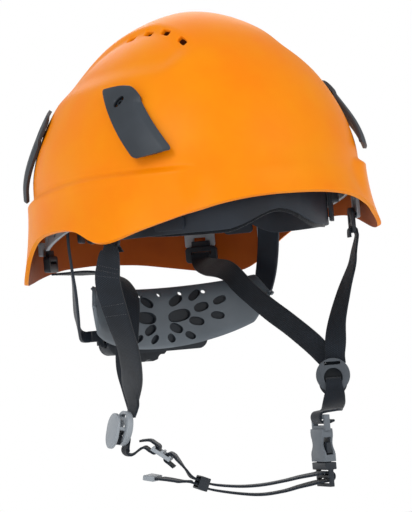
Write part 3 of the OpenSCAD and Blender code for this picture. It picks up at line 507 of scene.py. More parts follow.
# %% Lay a grid over a surface
def grid_mesh(across, along, place, measure=None, closed=False):
    bm = bmesh.new()
    bmesh.ops.create_grid(bm, x_segments=across, y_segments=along, size=1.0)
    weave = bm.loops.layers.uv.new("weave")
    if measure:
        for face in bm.faces:
            for corner in face.loops:
                at = corner.vert.co
                corner[weave].uv = measure((at.x + 1) / 2, (at.y + 1) / 2)
    for v in bm.verts:
        v.co = Vector(place((v.co.x + 1) / 2, (v.co.y + 1) / 2)) * MM
    bmesh.ops.remove_doubles(bm, verts=bm.verts, dist=5e-6)
    if closed:
        bmesh.ops.holes_fill(bm, edges=bm.edges, sides=0)
        bmesh.ops.recalc_face_normals(bm, faces=bm.faces)
    return bm


def piece_of(name, bm):
    mesh = bpy.data.meshes.new(name)
    bm.to_mesh(mesh)
    bm.free()
    mesh.shade_smooth()
    return bpy.data.objects.new(name, mesh)


def face_out(piece, inside):
    """turn an open sheet so that its faces look away from a point"""
    votes = sum(1 if f.normal.dot(f.center - inside) > 0 else -1
                for f in piece.data.polygons)
    if votes < 0:
        piece.data.flip_normals()


print("a grid can now be laid over any surface")

# %% [markdown]
# A sheet has no thickness. Solidify gives it its wall and Bevel rounds the
# edges of that wall. The result is then kept as the piece's own mesh, because
# openings are cut from it afterwards.

# %% Walls
def walled(piece, thick, edge, segments=3, angle=50, offset=-1):
    """give an open sheet its wall, and round the edges of that wall"""
    wall_step = piece.modifiers.new("wall", "SOLIDIFY")
    wall_step.thickness, wall_step.offset = thick * MM, offset
    soft = piece.modifiers.new("edge", "BEVEL")
    soft.width, soft.segments, soft.limit_method = edge * MM, segments, "ANGLE"
    soft.angle_limit = math.radians(angle)
    return wall_step


def baked(piece):
    """replace a piece's mesh by what its modifiers make of it"""
    bpy.context.collection.objects.link(piece)
    graph = bpy.context.evaluated_depsgraph_get()
    final = bpy.data.meshes.new_from_object(piece.evaluated_get(graph))
    piece.modifiers.clear()
    piece.data = final
    bpy.context.collection.objects.unlink(piece)
    return piece


print("the shell's wall will be", wall, "mm thick")

# %% [markdown]
# On the shell, the first direction of the grid becomes the angle round the head and the second
# runs from the crown to the rim. The two ends of the grid meet behind the head. The inner side
# of the wall gets the second finish, a duller orange that is darker as painted shade: the
# inside is the same plastic, and its darker colour stands in for the shadow inside the shell.

# %% The shell
dome_rows, ledge_rows, skirt_rows = 52, 7, 15
shell_rows = dome_rows + ledge_rows + skirt_rows


def shell_point(u, w):
    phi = 180 + 360 * u
    row = w * shell_rows
    if row <= dome_rows:
        t = 1 - (row / dome_rows) ** 1.9
        return dome_point(phi, widest_z + dome_height * t)
    if row <= dome_rows + ledge_rows:
        return ledge_point(phi, (row - dome_rows) / ledge_rows)
    return skirt_point(phi, (row - dome_rows - ledge_rows) / skirt_rows)


shell = piece_of("helmet_shell", grid_mesh(216, shell_rows, shell_point))
face_out(shell, Vector((0, 0, 0.03)))
shell_wall = walled(shell, wall, 1.1, angle=55)
shell_wall.use_even_offset = True
# the inner wall takes the second material, the painted shade
shell_wall.material_offset = 1
shell.data.materials.append(shell_orange)
shell.data.materials.append(shell_inside_painted_shade)
baked(shell)
print("shell:", len(shell.data.polygons), "faces")

# %% [markdown]
# An opening is cut by taking one closed shape away from another. A cutter with a mouth that
# widens like a small bell leaves a rounded edge round the opening, as a moulded slot has. The
# cutter's finish stays on the faces that it leaves, so the inside of a hollow can be painted
# dark as painted shade.

# %% Cutters
def outline(angle, half_x, half_y, square):
    c, s = math.cos(angle), math.sin(angle)
    return (math.copysign(abs(c) ** (2 / square), c) * half_x,
            math.copysign(abs(s) ** (2 / square), s) * half_y)


def bell(width, length, frame_matrix, depth=9.0, square=4.0, mouth=0.9):
    """closed cutter whose mouth widens where it leaves the surface"""
    levels = [(-depth, 0), (-1.6, 0), (-0.8, 0.12), (-0.35, 0.4), (0, 1.0), (0.4, 2.0),
              (2.5, 2.0)]

    def place(u, w):
        level, grow = levels[round(w * (len(levels) - 1))]
        x, y = outline(2 * math.pi * u, width / 2 + grow * mouth, length / 2 + grow * mouth,
                       square)
        return frame_matrix @ Vector((x, y, level))
    return grid_mesh(40, len(levels) - 1, place, closed=True)


def upright(z_dir, y_hint, at):
    """place a shape at a point, its own z along z_dir and its y near y_hint"""
    z = Vector(z_dir).normalized()
    x = Vector(y_hint).cross(z).normalized()
    return Matrix.Translation(at) @ Matrix((x, z.cross(x), z)).transposed().to_4x4()


def joined(parts):
    whole = bmesh.new()
    for part in parts:
        mesh = bpy.data.meshes.new("part")
        part.to_mesh(mesh)
        part.free()
        whole.from_mesh(mesh)
        bpy.data.meshes.remove(mesh)
    return whole


def cut(piece, cutters, finish=None):
    tool = piece_of("cutter", joined(cutters))
    # a finish given here, the black one, paints shade on the walls the cutter leaves
    if finish:
        tool.data.materials.append(finish)
    bpy.context.collection.objects.link(tool)
    step = piece.modifiers.new("cut", "BOOLEAN")
    step.operation, step.solver, step.object = "DIFFERENCE", "MANIFOLD", tool
    step.material_mode = "TRANSFER"
    baked(piece)
    bpy.data.objects.remove(tool)
    piece.data.set_sharp_from_angle(angle=math.radians(38))
    return piece


def tree_of(piece):
    """search tree of a mesh, to find where a ray meets it"""
    return BVHTree.FromPolygons([v.co for v in piece.data.vertices],
                                [p.vertices[:] for p in piece.data.polygons])


print("a cutter has 40 sides and widens over its last", 1.6, "mm")

# %% [markdown]
# Four vent slots sit in an arch along each side of the crest, and each lamp
# clip has a stud hole. A ray sent down on the shell finds the place of each
# slot and the way the surface faces there.

# %% Cut the vents and the stud holes
# x, y, z of each slot in mm and its turn in degrees, for the left side
vents = [(44.5, 6.6, 126, -5), (41, -11.4, 127, 8), (38.4, -30, 124.5, 18),
         (38.4, -50, 116.5, 30)]
# angle and level of a lamp clip's top, its stud and its foot
clip_lines = {"front": ((69, 84), (66, 73), (50, 35)),
              "rear": ((119, 76), (121, 65), (131, 22))}
clip_slant = {"front": 0.1, "rear": 0.0}
shell_tree = tree_of(shell)
cutters = []
for side in (-1, 1):
    flip = Matrix.Diagonal((side, 1, 1, 1))
    for x, y, z, turn in vents:
        axis = Euler((0, math.radians(30), math.radians(turn))).to_matrix()
        out = axis @ Vector((0, 0, 1))
        run = axis @ Vector((0, 1, 0))
        hit, face_dir, _, _ = shell_tree.ray_cast((Vector((x, y, z)) + out * 40) * MM, -out)
        cutters.append(bell(4.0, 9.4, flip @ upright(face_dir, run, hit / MM)))
    for line in clip_lines.values():
        at, out = dome_raw(*line[1]), dome_normal(*line[1])
        cutters.append(bell(6.8, 6.8, flip @ upright(out, (0, 0, 1), at), square=2, mouth=0.3))
cut(shell, cutters)
show(shell, "helmet", "shell", None, ["shell"])
print("cut", len(cutters), "openings; shell has", len(shell.data.polygons), "faces")

# %% [markdown]
# A lamp clip is a stiff plate that follows the dome from a hollow stud near
# its top to a free end that stands off a few millimetres, so that a lamp
# strap can be pushed behind it. Its front edge has a wide chamfer, and its
# top is an arch that ends in a small shoulder on the front side.

# %% The plate of a lamp clip
clip_half, stud_radius, stud_long, stud_deep = 12.5, 2.5, 9.4, 7


def clip_point(where, side, u, w):
    (phi0, z0), _, (phi1, z1) = clip_lines[where]
    x = 2 * u - 1
    arch = math.sqrt(max(0, 1 - (1 - min(1, w / 0.2)) ** 2))
    front = 0.46 + 0.6 * arch - 0.07 * smooth((w - 0.22) / 0.02)
    back = 0.9 + 0.1 * math.sqrt(max(0, 1 - (1 - min(1, w / 0.05)) ** 2))
    foot = 0.84 + 0.16 * math.sqrt(max(0, 1 - max(0, (w - 0.94) / 0.06) ** 2))
    half = clip_half * (front if x < 0 else back) * foot
    v = w - clip_slant[where] * x * half / clip_half
    phi, z = phi0 + (phi1 - phi0) * v, z0 + (z1 - z0) * v
    n = dome_normal(phi, z)
    t = (dome_raw(phi + (phi1 - phi0) * 0.02, z + (z1 - z0) * 0.02)
         - dome_raw(phi, z)).normalized()
    across = n.cross(t).normalized()
    lift = 2 + 3.2 * smooth((w - 0.25) / 0.75)
    shape = 2.4 - 1.0 * x * x - 1.5 * max(0, (-x - 0.6) / 0.4) * smooth((w - 0.2) / 0.1)
    p = dome_raw(phi, z) + n * (lift + shape) + across * half * x
    return Vector((p.x * side, p.y, p.z))


print("a lamp clip is", 2 * clip_half, "mm wide")

# %% [markdown]
# The stud goes through the shell and holds the clip. It is a tube, so the hollow in the plate
# above it ends in a hole; the stud and the walls of that hollow take the black finish as
# painted shade, so that the hole reads dark.

# %% Studs, and the clips made up
def stud_tube(at, out):
    """the hollow stud: a circle drawn out to a tube and given a wall"""
    tube = bmesh.new()
    bmesh.ops.create_circle(tube, segments=32, radius=stud_radius * MM)
    made = bmesh.ops.extrude_edge_only(tube, edges=tube.edges[:])["geom"]
    bmesh.ops.translate(tube, vec=(0, 0, stud_long * MM),
                        verts=[v for v in made if isinstance(v, bmesh.types.BMVert)])
    bmesh.ops.recalc_face_normals(tube, faces=tube.faces)
    bmesh.ops.solidify(tube, geom=tube.faces, thickness=1.1 * MM)
    bmesh.ops.transform(tube, matrix=Matrix.Translation(at * MM) @ upright(
        out, (0, 0, 1), (0, 0, 0)) @ Matrix.Translation((0, 0, -stud_deep * MM)),
                        verts=tube.verts)
    # painted shade: the stud takes the black finish of the slot's walls, so the hole reads dark
    for face in tube.faces:
        face.material_index = 1
    return tube


def lamp_clip(where, side, body):
    name = "lamp_clip_" + where + ("_left" if side > 0 else "_right")
    line = clip_lines[where]
    clip = piece_of(name + "_plate", grid_mesh(
        20, 44, lambda u, w: clip_point(where, side, u, w)))
    at, out = dome_raw(*line[1]), dome_normal(*line[1])
    at.x *= side
    out.x *= side
    face_out(clip, (at - out * 60) * MM)
    walled(clip, 2.4, 0.6)
    baked(clip)
    clip.data.materials.append(slate_clip)
    slant = Vector((0, -0.55, 0.85))
    # painted shade: the walls of the slot in the plate take the black finish
    cut(clip, [bell(4.6, 8.6, upright(out, slant, at + out * 4.3), 8, 2.4, 0.45)],
        black_moulding)
    tube = stud_tube(at, out)
    mesh = bpy.data.meshes.new("stud")
    tube.to_mesh(mesh)
    tube.free()
    whole = bmesh.new()
    whole.from_mesh(clip.data)
    whole.from_mesh(mesh)
    whole.to_mesh(clip.data)
    whole.free()
    return show(clip, body, "slate_plastic", None, [name])


for where in clip_lines:
    for side in (1, -1):
        lamp_clip(where, side, "lamp_clip_" + where[0] + ("l" if side > 0 else "r"))
print("four lamp clips on hollow studs")

# %% [markdown]
# The nape pad is a soft curved plate with petal-shaped hollows that let the neck breathe. It
# bows round the back of the neck, and its top and bottom edges roll away from the skin. The
# insides of the hollows are painted black as painted shade.

# %% Nape pad
def pad_point(u, w):
    s = 2 * u - 1
    a = math.radians(62 * s)
    x = 78 * math.sin(a) * 1.08
    y = 68 - 66 * (1 - math.cos(a))
    top = -50 + 6 * s * s - 16 * smooth((abs(s) - 0.86) / 0.16)
    low = -94 + 20 * s * s + 14 * smooth((abs(s) - 0.82) / 0.2)
    v = 2 * w - 1
    roll = 4.5 * abs(v) ** 5 + 0.6 * v * v
    return Vector((x, y + roll, (top + low) / 2 - (top - low) / 2 * v))


# x, z, half length, half width in mm and turn in degrees, for the left side
petals = [(12, -60, 5.5, 2.8, 32), (14, -71, 8, 4, 8), (11, -80, 5, 2.8, -28),
          (7, -87, 3.6, 2.2, -55), (27, -57, 5, 2.4, 38), (31, -66, 5, 2.8, 14),
          (27, -76, 5.2, 2.6, -14), (22, -86, 4.2, 2.1, -32), (44, -62, 4.4, 2.2, 20),
          (42, -73, 4.4, 2.3, -10)]
nape = piece_of("nape_pad_moulded", grid_mesh(120, 30, pad_point))
face_out(nape, Vector((0, 0.3, -0.07)))
nape_tree = tree_of(nape)
walled(nape, 2.6, 0.9)
baked(nape)
hollows, holes = [], []
for side in (-1, 1):
    for x, z, long_half, short_half, turn in petals:
        hit, face_dir, _, _ = nape_tree.ray_cast(Vector((x * side, -100, z)) * MM, (0, 1, 0))
        if hit:
            a = math.radians(turn)
            run = Vector((math.cos(a) * side, 0, math.sin(a)))
            hollows.append(bell(2 * short_half, 2 * long_half,
                                upright(face_dir, run, hit / MM), 1.9, 2.3, 0.5))
for x in (-34, -17, 0, 17, 34):
    hit, face_dir, _, _ = nape_tree.ray_cast(Vector((x, -100, -54.5)) * MM, (0, 1, 0))
    holes.append(bell(3.2, 3.2, upright(face_dir, (0, 0, 1), hit / MM), 6, 2, 0.4))
nape.data.materials.append(nape_grey)
cut(nape, holes)
# painted shade: the faces inside the petal hollows take the black finish
cut(nape, hollows, black_moulding)
show(nape, "nape_unit", "grey_plastic", None, ["nape_pad"])
print("nape pad with", len(hollows), "hollows and", len(holes), "holes")

# %% [markdown]
# Webbing is one flat ribbon that follows a route. The route is a smooth curve
# through a few chosen points, and at each point we say which way the width of
# the ribbon lies, so it can twist and turn round a bar without creasing.

# %% Ribbons along a route
web_thick, steps_per_span = 1.5, 8


def spline(points, i, t):
    """point of a smooth curve, a fraction t of the way from point i to the next"""
    a, b = points[max(0, i - 1)], points[i]
    c, d = points[i + 1], points[min(len(points) - 1, i + 2)]
    return 0.5 * (2 * b + (c - a) * t + (2 * a - 5 * b + 4 * c - d) * t * t
                  + (3 * b - a - 3 * c + d) * t * t * t)


def route(points, n):
    fine = [spline(points, i, j / n) for i in range(len(points) - 1) for j in range(n)]
    return fine + [points[-1]]


def turned(turn, p):
    return Euler([math.radians(a) for a in turn], "XYZ").to_matrix() @ Vector(p)


def placed(at, turn, p):
    return Vector(at) + turned(turn, p)


print("a route has", steps_per_span, "steps between two of its points")

# %% [markdown]
# The ribbon itself is a narrow grid laid along the route, with a wall half to
# each side. Its map measures true millimetres along and across, and the row of
# points and half widths is kept, so that stitches can be set on it later.

# %% A strip of webbing
def ribbon(name, points, across, widths, thick=web_thick):
    """piece, middle line, half widths as vectors, and length of a strip of webbing"""
    points = [Vector(p) for p in points]
    across = [Vector(a) for a in across]
    if not isinstance(widths, (list, tuple)):
        widths = [widths] * len(points)
    line, sides = route(points, steps_per_span), route(across, steps_per_span)
    wide = route([float(v) for v in widths], steps_per_span)
    reach = [0.0]
    for p, q in zip(line, line[1:]):
        reach.append(reach[-1] + (q - p).length)
    last = len(line) - 1
    spread = []
    for i, p in enumerate(line):
        t = (line[min(last, i + 1)] - line[max(0, i - 1)]).normalized()
        flat = t.cross(sides[i]).normalized()
        spread.append(flat.cross(t) * wide[i] / 2)

    def place(u, w):
        i = round(w * last)
        return line[i] + spread[i] * (2 * u - 1)

    def measure(u, w):
        i = round(w * last)
        return (reach[i] * MM, (u - 0.5) * wide[i] * MM)
    piece = piece_of(name, grid_mesh(8, last, place, measure))
    walled(piece, thick, 0.4, 2, 60, 0)
    baked(piece)
    piece.data.shade_smooth()
    return piece, line, spread, reach[-1]


print("ribbons are", web_thick, "mm thick")

# %% [markdown]
# Each front strap goes round the bar of its hook and runs down to a divider,
# and each rear strap comes from its block across the edge of the nape pad to
# the same divider. The dividers keep the two straps apart below the ear.

# %% Hooks and blocks
front_anchor, front_turn = Vector((102.6, -40.1, -4)), (0, 0, -22)
hook_at = front_anchor + Vector((-3.6, 1.4, -10))
slider_left_at, slider_left_turn = (72, -38.3, -122), (0, 0, -32)
slider_right_at, slider_right_turn = (-71, 14, -146), (-14, 0, -98)


def hook_turn(side):
    """the way of a front strap round the bar of its hook"""
    out = []
    for x, z in ((-2.6, -12), (-2.6, -9), (-2.1, -6.3), (0, -5.4), (2.1, -6.3), (2.6, -9),
                 (2.6, -12)):
        p = placed(hook_at, front_turn, (x, 0, z))
        out.append((side * p.x, p.y, p.z))
    return out


def hook_across(side):
    v = turned(front_turn, (0, 1, 0))
    return [(side * v.x, v.y, 0)] * 7


block_at, block_turn = Vector((64.6, 110.6, -26.4)), (0, 0, 44)


def over_block(side):
    """points and widths of webbing that turns over the bar of a rear block"""
    points = [placed(block_at, block_turn, (x, 0, z)) for x, z in
              ((3.6, -9), (3.5, -4), (2.4, 0.2), (0, 1.2), (-2.6, 0.2), (-4.4, -4))]
    lay = turned(block_turn, (0, 1, 0))
    return ([(side * p.x, p.y, p.z) for p in points], [(side * lay.x, lay.y, 0)] * 6)


print("a front strap turns round its hook at z =", round(hook_at.z - 5.4, 1), "mm")

# %% [markdown]
# On the left the front strap falls almost straight to its divider, and the
# rear strap lies along the pad before it comes forward and widens.

# %% Upper straps, left
straps = {}
straps["strap_front_left"] = ribbon(
    "strap_front_left_web",
    hook_turn(1) + [(99.6, -37.6, -36), (97.6, -36.2, -46), (91, -33.6, -63),
                    (81.6, -35.2, -84), (77, -37.4, -100), (76.2, -37, -108),
                    (76.2, -37.1, -114.4)],
    hook_across(1) + [(0.3, 0.95, 0), (0.2, 0.97, 0), (0, 1, 0.05), (-0.3, 0.95, 0.1),
                      (-0.76, 0.65, 0), (-0.85, 0.53, 0), (-0.85, 0.53, 0)],
    [8, 8, 8, 8, 8, 8, 8.6, 11, 13, 15, 15, 15, 14, 14])
straps["strap_rear_left"] = ribbon(
    "strap_rear_left_web",
    over_block(1)[0] + [(58.6, 100, -34), (53, 82, -37), (50, 66, -38.6), (48, 54, -40.4),
     (47, 44, -44), (47.8, 36, -50.5), (50.5, 26, -59.5), (55, 10, -72), (62, -6, -85),
     (69.6, -23.6, -101), (72.6, -32.1, -112)],
    over_block(1)[1] + [(-0.66, 0.6, -0.4), (-0.6, 0.4, -0.68), (-0.57, 0.38, -0.73),
     (-0.52, 0.38, -0.76), (-0.4, 0.38, -0.8), (-0.25, 0.4, -0.85), (-0.1, 0.42, -0.88),
     (0, 0.42, -0.9), (0, 0.46, -0.88), (-0.2, 0.5, -0.82), (-0.6, 0.42, -0.68)],
    [13, 13, 13, 13, 13, 13.6, 14.6, 15, 15, 15, 15, 16, 16, 17, 17, 16, 12])
print("two straps on the left")

# %% [markdown]
# On the right the front strap is narrow in its hook, opens to its full width
# and turns flat towards its divider, and the rear strap hangs down inside it.

# %% Upper straps, right
straps["strap_front_right"] = ribbon(
    "strap_front_right_web",
    hook_turn(-1) + [(-101.6, -36.6, -34), (-100.6, -32.5, -48), (-92, -28.5, -74),
                     (-82.4, -20.6, -92), (-72.6, -6, -108.7), (-65.6, 9, -121),
                     placed(slider_right_at, slider_right_turn, (1, 4.4, 17)),
                     placed(slider_right_at, slider_right_turn, (1, 3.7, 8))],
    hook_across(-1) + [(-0.5, 0.86, 0), (-0.6, 0.8, 0), (-0.5, 0.85, 0.1), (-0.4, 0.9, 0.2),
                       (-0.3, 0.9, 0.3), (-0.1, 0.94, 0.25), (0.08, 0.98, 0.1),
                       (0.139, 0.99, 0)],
    [15, 10.6, 8, 8, 8, 10.6, 15, 17, 18, 18, 18, 18, 17, 15, 14])
straps["strap_rear_right"] = ribbon(
    "strap_rear_right_web",
    [(-61.4, 106.2, -34), (-57, 94, -34.8), (-50, 76, -35.4), (-43, 60, -38.6),
     (-41.5, 47, -44.6), (-44.6, 38, -58), (-51.4, 32, -82), (-57, 27, -102),
     (-58.6, 23, -119), (-59.8, 18.8, -134)],
    [(0.95, 0.3, 0), (0.93, 0.33, -0.1), (0.9, 0.35, -0.15), (0.88, 0.3, -0.2),
     (0.86, 0.25, -0.3), (0.86, -0.2, -0.15), (0.8, -0.55, 0.1), (0.6, -0.75, 0.2),
     (0.2, -0.94, 0.2), (-0.1, -0.99, 0)],
    [16, 16, 16, 16, 16, 16, 16, 16, 15, 13])
for name, made in straps.items():
    show(made[0], "helmet", "webbing", strap_weave, [name])
    print(name, round(made[3]), "mm of webbing")

# %% [markdown]
# Below each divider the two straps have become one. On the left it turns
# through the round window of the divider and runs to the buckle. On the right
# it ends round the outer bar of the tri-glide that sets the strap's length.

# %% The two lower straps
buckle = (42, -62, -172), (0, 0, -9)
keeper = (-32.4, -20.2, -187.9), (0, 24, -22)
glide = (-52.6, -4.4, -165.4), (0, 37, -38)


def ring_turn(at, turn, side):
    """the way of a lower strap through the window of its divider"""
    return [placed(at, turn, (0, -side * x, z)) for x, z in
            ((-3.7, -12), (-3.6, -7.4), (-2.5, -3.8), (0, -2.4), (2.5, -3.8), (3.6, -7.4),
             (3.7, -12.6))]


def beside(fitting, pairs):
    """points in the middle plane of a fitting, from its own x and z"""
    return [placed(*fitting, (x, 0, z)) for x, z in pairs]


lower_left = ribbon(
    "lower_strap_left_web",
    ring_turn(slider_left_at, slider_left_turn, 1) + [(66, -45.4, -141), (58.6, -53, -145.2)]
    + beside(buckle, [(8, 26.6), (2, 26.2), (-1.8, 25.5), (-3.3, 23), (-2.8, 20.2), (0, 18.6),
              (3.4, 18.6), (7.4, 19.8)]),
    [turned(slider_left_turn, (1, 0, 0))] * 7 + [(0.75, -0.66, 0), (0.45, -0.89, 0)]
    + [turned(buckle[1], (0, -1, 0))] * 8,
    [10.6] * 5 + [11.6, 14, 16, 15.6, 14.6] + [14.4] * 7)
lower_right = ribbon(
    "lower_strap_right_web",
    ring_turn(slider_right_at, slider_right_turn, -1)
    + [(-70.4, 14.2, -162.4), (-67.4, 10.4, -164.2)]
    + beside(glide, [(-13, -3.2), (-8, -2.7), (-4.3, -2.3), (-3.3, 0.4), (-4.3, 3.3), (-8, 3.6),
                (-12, 3.4)]) + [(-63.4, 4.6, -155.4)],
    [turned(slider_right_turn, (1, 0, 0))] * 7 + [(-0.05, -1, 0), (-0.45, -0.89, 0)]
    + [turned(glide[1], (0, -1, 0))] * 8,
    [10.6] * 8 + [12, 13.6, 14.4, 14.4, 14.4, 14.4, 14.4, 14, 13])
for name, made in (("lower_strap_left", lower_left), ("lower_strap_right", lower_right)):
    show(made[0], "helmet", "webbing", strap_weave, [name])
    print(name, round(made[3]), "mm of webbing")

# %% [markdown]
# Every loop of webbing is closed by rows of stitches across the strap. Each
# stitch is a short bead of thread, pressed into the weave, so one small ball
# is stretched and set down again and again, on both faces of the ribbon. Each
# row is named by the number of the ribbon's cross line that it lies on.

# %% Rows of stitches
bead_half = (0.62, 0.26, 0.16)
web_margin, bead_out = 1.6, 0.78


def stitch_rows(name, made, places, gap=1.5):
    _, line, spread, _ = made
    bm = bmesh.new()
    for k in places:
        t = (line[k + 1] - line[k - 1]).normalized()
        lay = spread[k].normalized()
        flat = t.cross(lay).normalized()
        half = spread[k].length - web_margin
        count = int(2 * half / gap)
        for face_side in (-1, 1):
            for j in range(count + 1):
                at = line[k] + lay * (2 * half * j / count - half) + flat * bead_out * face_side
                axes = [way * size for way, size in zip((lay, t, flat), bead_half)]
                stretch = Matrix(axes).transposed().to_4x4()
                bmesh.ops.create_uvsphere(bm, u_segments=8, v_segments=5, radius=1.0,
                                          matrix=Matrix.Scale(MM, 4)
                                          @ Matrix.Translation(at) @ stretch)
    bmesh.ops.recalc_face_normals(bm, faces=bm.faces)
    beads = piece_of(name, bm)
    show(beads, "helmet", "webbing", seam_thread)
    return len(places) * 2


rows = stitch_rows("stitches_front_right", straps["strap_front_right"], (57, 59, 61, 68, 70))
rows += stitch_rows("stitches_front_left", straps["strap_front_left"], (58, 60, 62))
rows += stitch_rows("stitches_rear_left", straps["strap_rear_left"], (51, 53, 58, 60))
rows += stitch_rows("stitches_rear_right", straps["strap_rear_right"], (3, 5, 10, 12))
rows += stitch_rows("stitches_lower_left", lower_left, (62, 64, 80, 82))
print(rows, "rows of stitches")

# %% [markdown]
# The chin strap starts at the tri-glide, passes the keeper, turns round the
# web bar of the buckle's plug and comes back through the keeper to its tail.
# The plug can be pulled out of the socket.

# %% The chin strap
chin = ribbon(
    "chin_strap_web",
    beside(glide, [(12, -3.4), (8, -2.8), (4.3, -2.3), (3.3, 0.4), (4.3, 3.3), (7.6, 3.7),
              (11, 2.4)]) + [(-41.6, -14, -176.4)]
    + beside(keeper, [(-8, 1.8), (0, 1.7), (8, 1.8)])
    + [(-8, -29, -192.4), (6, -36, -192.8), (18, -44, -191.4), (27, -52.6, -189.4)]
    + beside(buckle, [(-7, -16), (-1.5, -15.4), (2.6, -16), (3.9, -18.4), (2.6, -20.8),
              (-1.5, -21.4), (-7, -21.8)])
    + [(27, -52.4, -195.8), (18, -43.6, -198.4), (6, -35.4, -199.4), (-8, -28.6, -197.4)]
    + beside(keeper, [(8, -1.9), (0, -1.7), (-8, -1.8)])
    + [(-43.6, -10.4, -185.4), (-48.4, -2, -183.6), (-51.6, 3.5, -182.6)],
    [(0.616, 0.788, 0)] * 7 + [(0.5, 0.87, 0)] + [(0.375, 0.927, 0)] * 3
    + [(0.42, 0.91, 0), (0.48, 0.88, 0), (0.5, 0.87, 0), (0.36, 0.93, 0)]
    + [(0.156, 0.988, 0)] * 7
    + [(0.36, 0.93, 0), (0.5, 0.87, 0), (0.48, 0.88, 0), (0.42, 0.91, 0)]
    + [(0.375, 0.927, 0)] * 3 + [(0.6, 0.8, 0), (0.75, 0.66, 0), (0.79, 0.61, 0)],
    14.6)
show(chin[0], None, "webbing", strap_weave, ["chin_strap"])
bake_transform(chin[0])
print("chin strap", round(chin[3]), "mm of webbing")

# %% [markdown]
# Inside the shell three cradle straps run from key to key over the head. They
# are thinner than the chin straps and of a coarser weave, and where they cross
# each lies on the next.

# %% Cradle straps
key_level, cradle_drop = 14, 30


def cradle(name, phi_a, phi_b, level):
    """strap between two keys; level is how far below the first strap it lies"""
    steps, points = 11, []
    for i in range(2 * steps + 1):
        u = abs(i - steps) / steps
        e = dome_raw(phi_a if i < steps else phi_b, widest_z, -10.8)
        k = math.sin(math.radians(90 * u))
        rise = math.cos(math.radians(90 * u)) ** 0.9 if u < 1 else 0
        high = crown_top - cradle_drop - level - key_level
        points.append((e.x * k, e.y * k, key_level + high * rise))
    e = dome_raw(phi_b, widest_z)
    made = ribbon(name + "_web", points, [Vector((-e.y, e.x, 0)).normalized()] * len(points),
                  15, 1.4)
    show(made[0], "helmet", "webbing", cradle_weave, [name])
    print(name, round(made[3]), "mm of webbing")


cradle("cradle_strap_front_left", 38, 218, 0)
cradle("cradle_strap_front_right", 322, 142, 2.2)
cradle("cradle_strap_across", 92, 268, 4.4)

# %% [markdown]
# The headband arms are flexible moulded strips. They hang from the headband and end on the
# racks inside the ratchet housing.

# %% Headband arms
arm_route = [(84.6, 46, -2), (84.2, 47, -16), (82.6, 48, -32), (80.6, 50, -46),
             (78.4, 54, -59), (74, 61.5, -71), (67, 71, -79), (60, 77.4, -81),
             (53.4, 80.8, -81)]
arm_across = [(-0.5, 0.87, 0), (-0.5, 0.87, 0), (-0.48, 0.87, 0.05), (-0.4, 0.87, 0.2),
              (-0.25, 0.75, 0.6), (0, 0.35, 1), (0, 0.1, 1), (0, 0, 1), (0, 0, 1)]
for side, rack in ((1, "rack_l"), (-1, "rack_r")):
    name = "headband_arm_" + ("left" if side > 0 else "right")
    count = len(arm_route)
    widths = [17 - 9 * smooth((i / (count - 1) - 0.35) / 0.5) for i in range(count)]
    made = ribbon(name + "_strip", [(side * x, y, z) for x, y, z in arm_route],
                  [(side * x, y, z) for x, y, z in arm_across], widths, 2.0)
    show(made[0], None, "black_plastic", dark_band, [name])
    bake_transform(made[0])
    print(name, round(made[3]), "mm long")

# %% [markdown]
# The brow pad is foam under knit. It follows the front of the headband, is
# thickest along its middle and thins out to a sewn edge, and sewn channels
# divide it into cushions so that it can bend round the brow.

# %% Brow pad
def band_point(phi, z, out):
    a = math.radians(phi)
    length = 97 if math.cos(a) > 0 else 95
    return Vector(((82 + out) * math.sin(a), -(length + out) * math.cos(a), z))


def band_low(phi):
    f = folded(phi)
    if f < 28:
        return -5 - 12 * smooth(f / 28)
    return -17 + 21 * smooth((f - 105) / 35)


brow_reach = 65


def brow_point(u, w):
    phi = brow_reach * (2 * u - 1)
    fade = 1 - (abs(phi) / (brow_reach + 1)) ** 6
    low, high = band_low(phi) - 2.5 * fade, 15.0
    a = 2 * math.pi * w
    up, out = math.sin(a), math.cos(a)
    channel = min(abs((phi + brow_reach) % 26 - 13) / 13, 1)
    seam = 1 - 0.55 * (channel ** 14)
    crown = max(0, 1 - abs(up) ** 3)
    deep = 0.6 + 4.4 * max(0.1, fade) * (0.35 + 0.65 * crown) * seam
    inward = -2.2 - deep * (0.5 - 0.5 * out)
    return band_point(phi, (low + high) / 2 + (high - low) / 2 * 0.97 * up, inward)


brow = piece_of("brow_pad_cushion", grid_mesh(150, 36, brow_point, closed=True))
show(brow, "helmet", "foam_pad", pad_knit, ["brow_pad"])
print("brow pad in five cushions")

# %% [markdown]
# The crown pad lies below the crossing of the cradle straps. It is a flat
# cushion of the same foam and knit, crowned in the middle and drawn in along
# its edge, with a cross of sewn channels.

# %% Crown pad
def pillow_point(u, w):
    lon, lat = 2 * math.pi * u, math.pi * (w - 0.5)
    flat = math.cos(lat)
    x, y = outline(lon, 29.6 * flat ** 0.35 if flat > 0 else 0,
                   37 * flat ** 0.35 if flat > 0 else 0, 4.5)
    high = 2.45 * math.copysign(abs(math.sin(lat)) ** 0.8, math.sin(lat))
    dip = 1 - 0.45 * max(math.exp(-(x / 2.2) ** 2), math.exp(-(y / 2.2) ** 2))
    return Vector((x, y + 4, crown_top - 45.4 + high * dip))


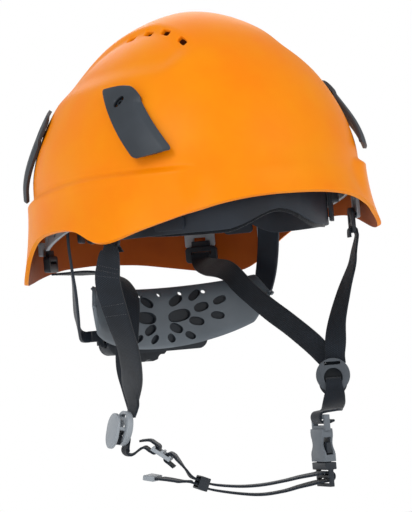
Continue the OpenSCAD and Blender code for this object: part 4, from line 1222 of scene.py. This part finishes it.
crown = piece_of("crown_pad_cushion", grid_mesh(96, 48, pillow_point, closed=True))
show(crown, "helmet", "foam_pad", pad_knit, ["crown_pad"])
print("crown pad, 59 mm by 74 mm")

# %% [markdown]
# The scene around it is plain: a pale floor well below, a sky that is white at
# the horizon and greyer above and below it, and three soft panels of light.

# %% Floor, light and sky
floor_radius, floor_level = 3.0, -0.45
floor_bm = bmesh.new()
bmesh.ops.create_circle(floor_bm, cap_ends=True, segments=96, radius=floor_radius)
bmesh.ops.translate(floor_bm, vec=(0, 0, floor_level), verts=floor_bm.verts)
floor = piece_of("floor", floor_bm)
floor_paint, _, floor_skin = start_finish("floor_paint", 0.9)
floor_skin.inputs["Base Color"].default_value = (0.95, 0.95, 0.95, 1)
floor.data.materials.append(floor_paint)
bpy.context.collection.objects.link(floor)

sky = bpy.data.worlds.new("sky")
sky.use_nodes = True
air = sky.node_tree
toward = node(air, "ShaderNodeTexCoord")
height_of = node(air, "ShaderNodeSeparateXYZ")
wire(air, toward, "Generated", height_of, "Vector")
tilt = node(air, "ShaderNodeMath", operation="ABSOLUTE")
wire(air, height_of, "Z", tilt, 0)
fade = ramp(air, tilt, 0, 0.13, 0.22, 1.0, 0.5)
fade.interpolation_type = "SMOOTHSTEP"
wire(air, fade, "Result", air.nodes["Background"], "Strength")
air.nodes["Background"].inputs["Color"].default_value = (1, 1, 1, 1)
bpy.context.scene.world = sky


aim = Vector((0, 0, -0.03))


def panel(name, at, size, power):
    lamp = bpy.data.lights.new(name, "AREA")
    lamp.shape, lamp.size, lamp.energy = "DISK", size, power
    lit = bpy.data.objects.new(name, lamp)
    lit.location = at
    lit.rotation_euler = (aim - Vector(at)).to_track_quat("-Z", "Y").to_euler()
    bpy.context.collection.objects.link(lit)


panel("key", (-1.7, -0.9, 1.4), 1.1, 17)
panel("fill", (0.7, -1.9, 1.0), 1.5, 9)
panel("back", (0.8, 1.5, 1.1), 1.2, 9)
bpy.context.scene.view_settings.view_transform = "Standard"
print("three soft panels")
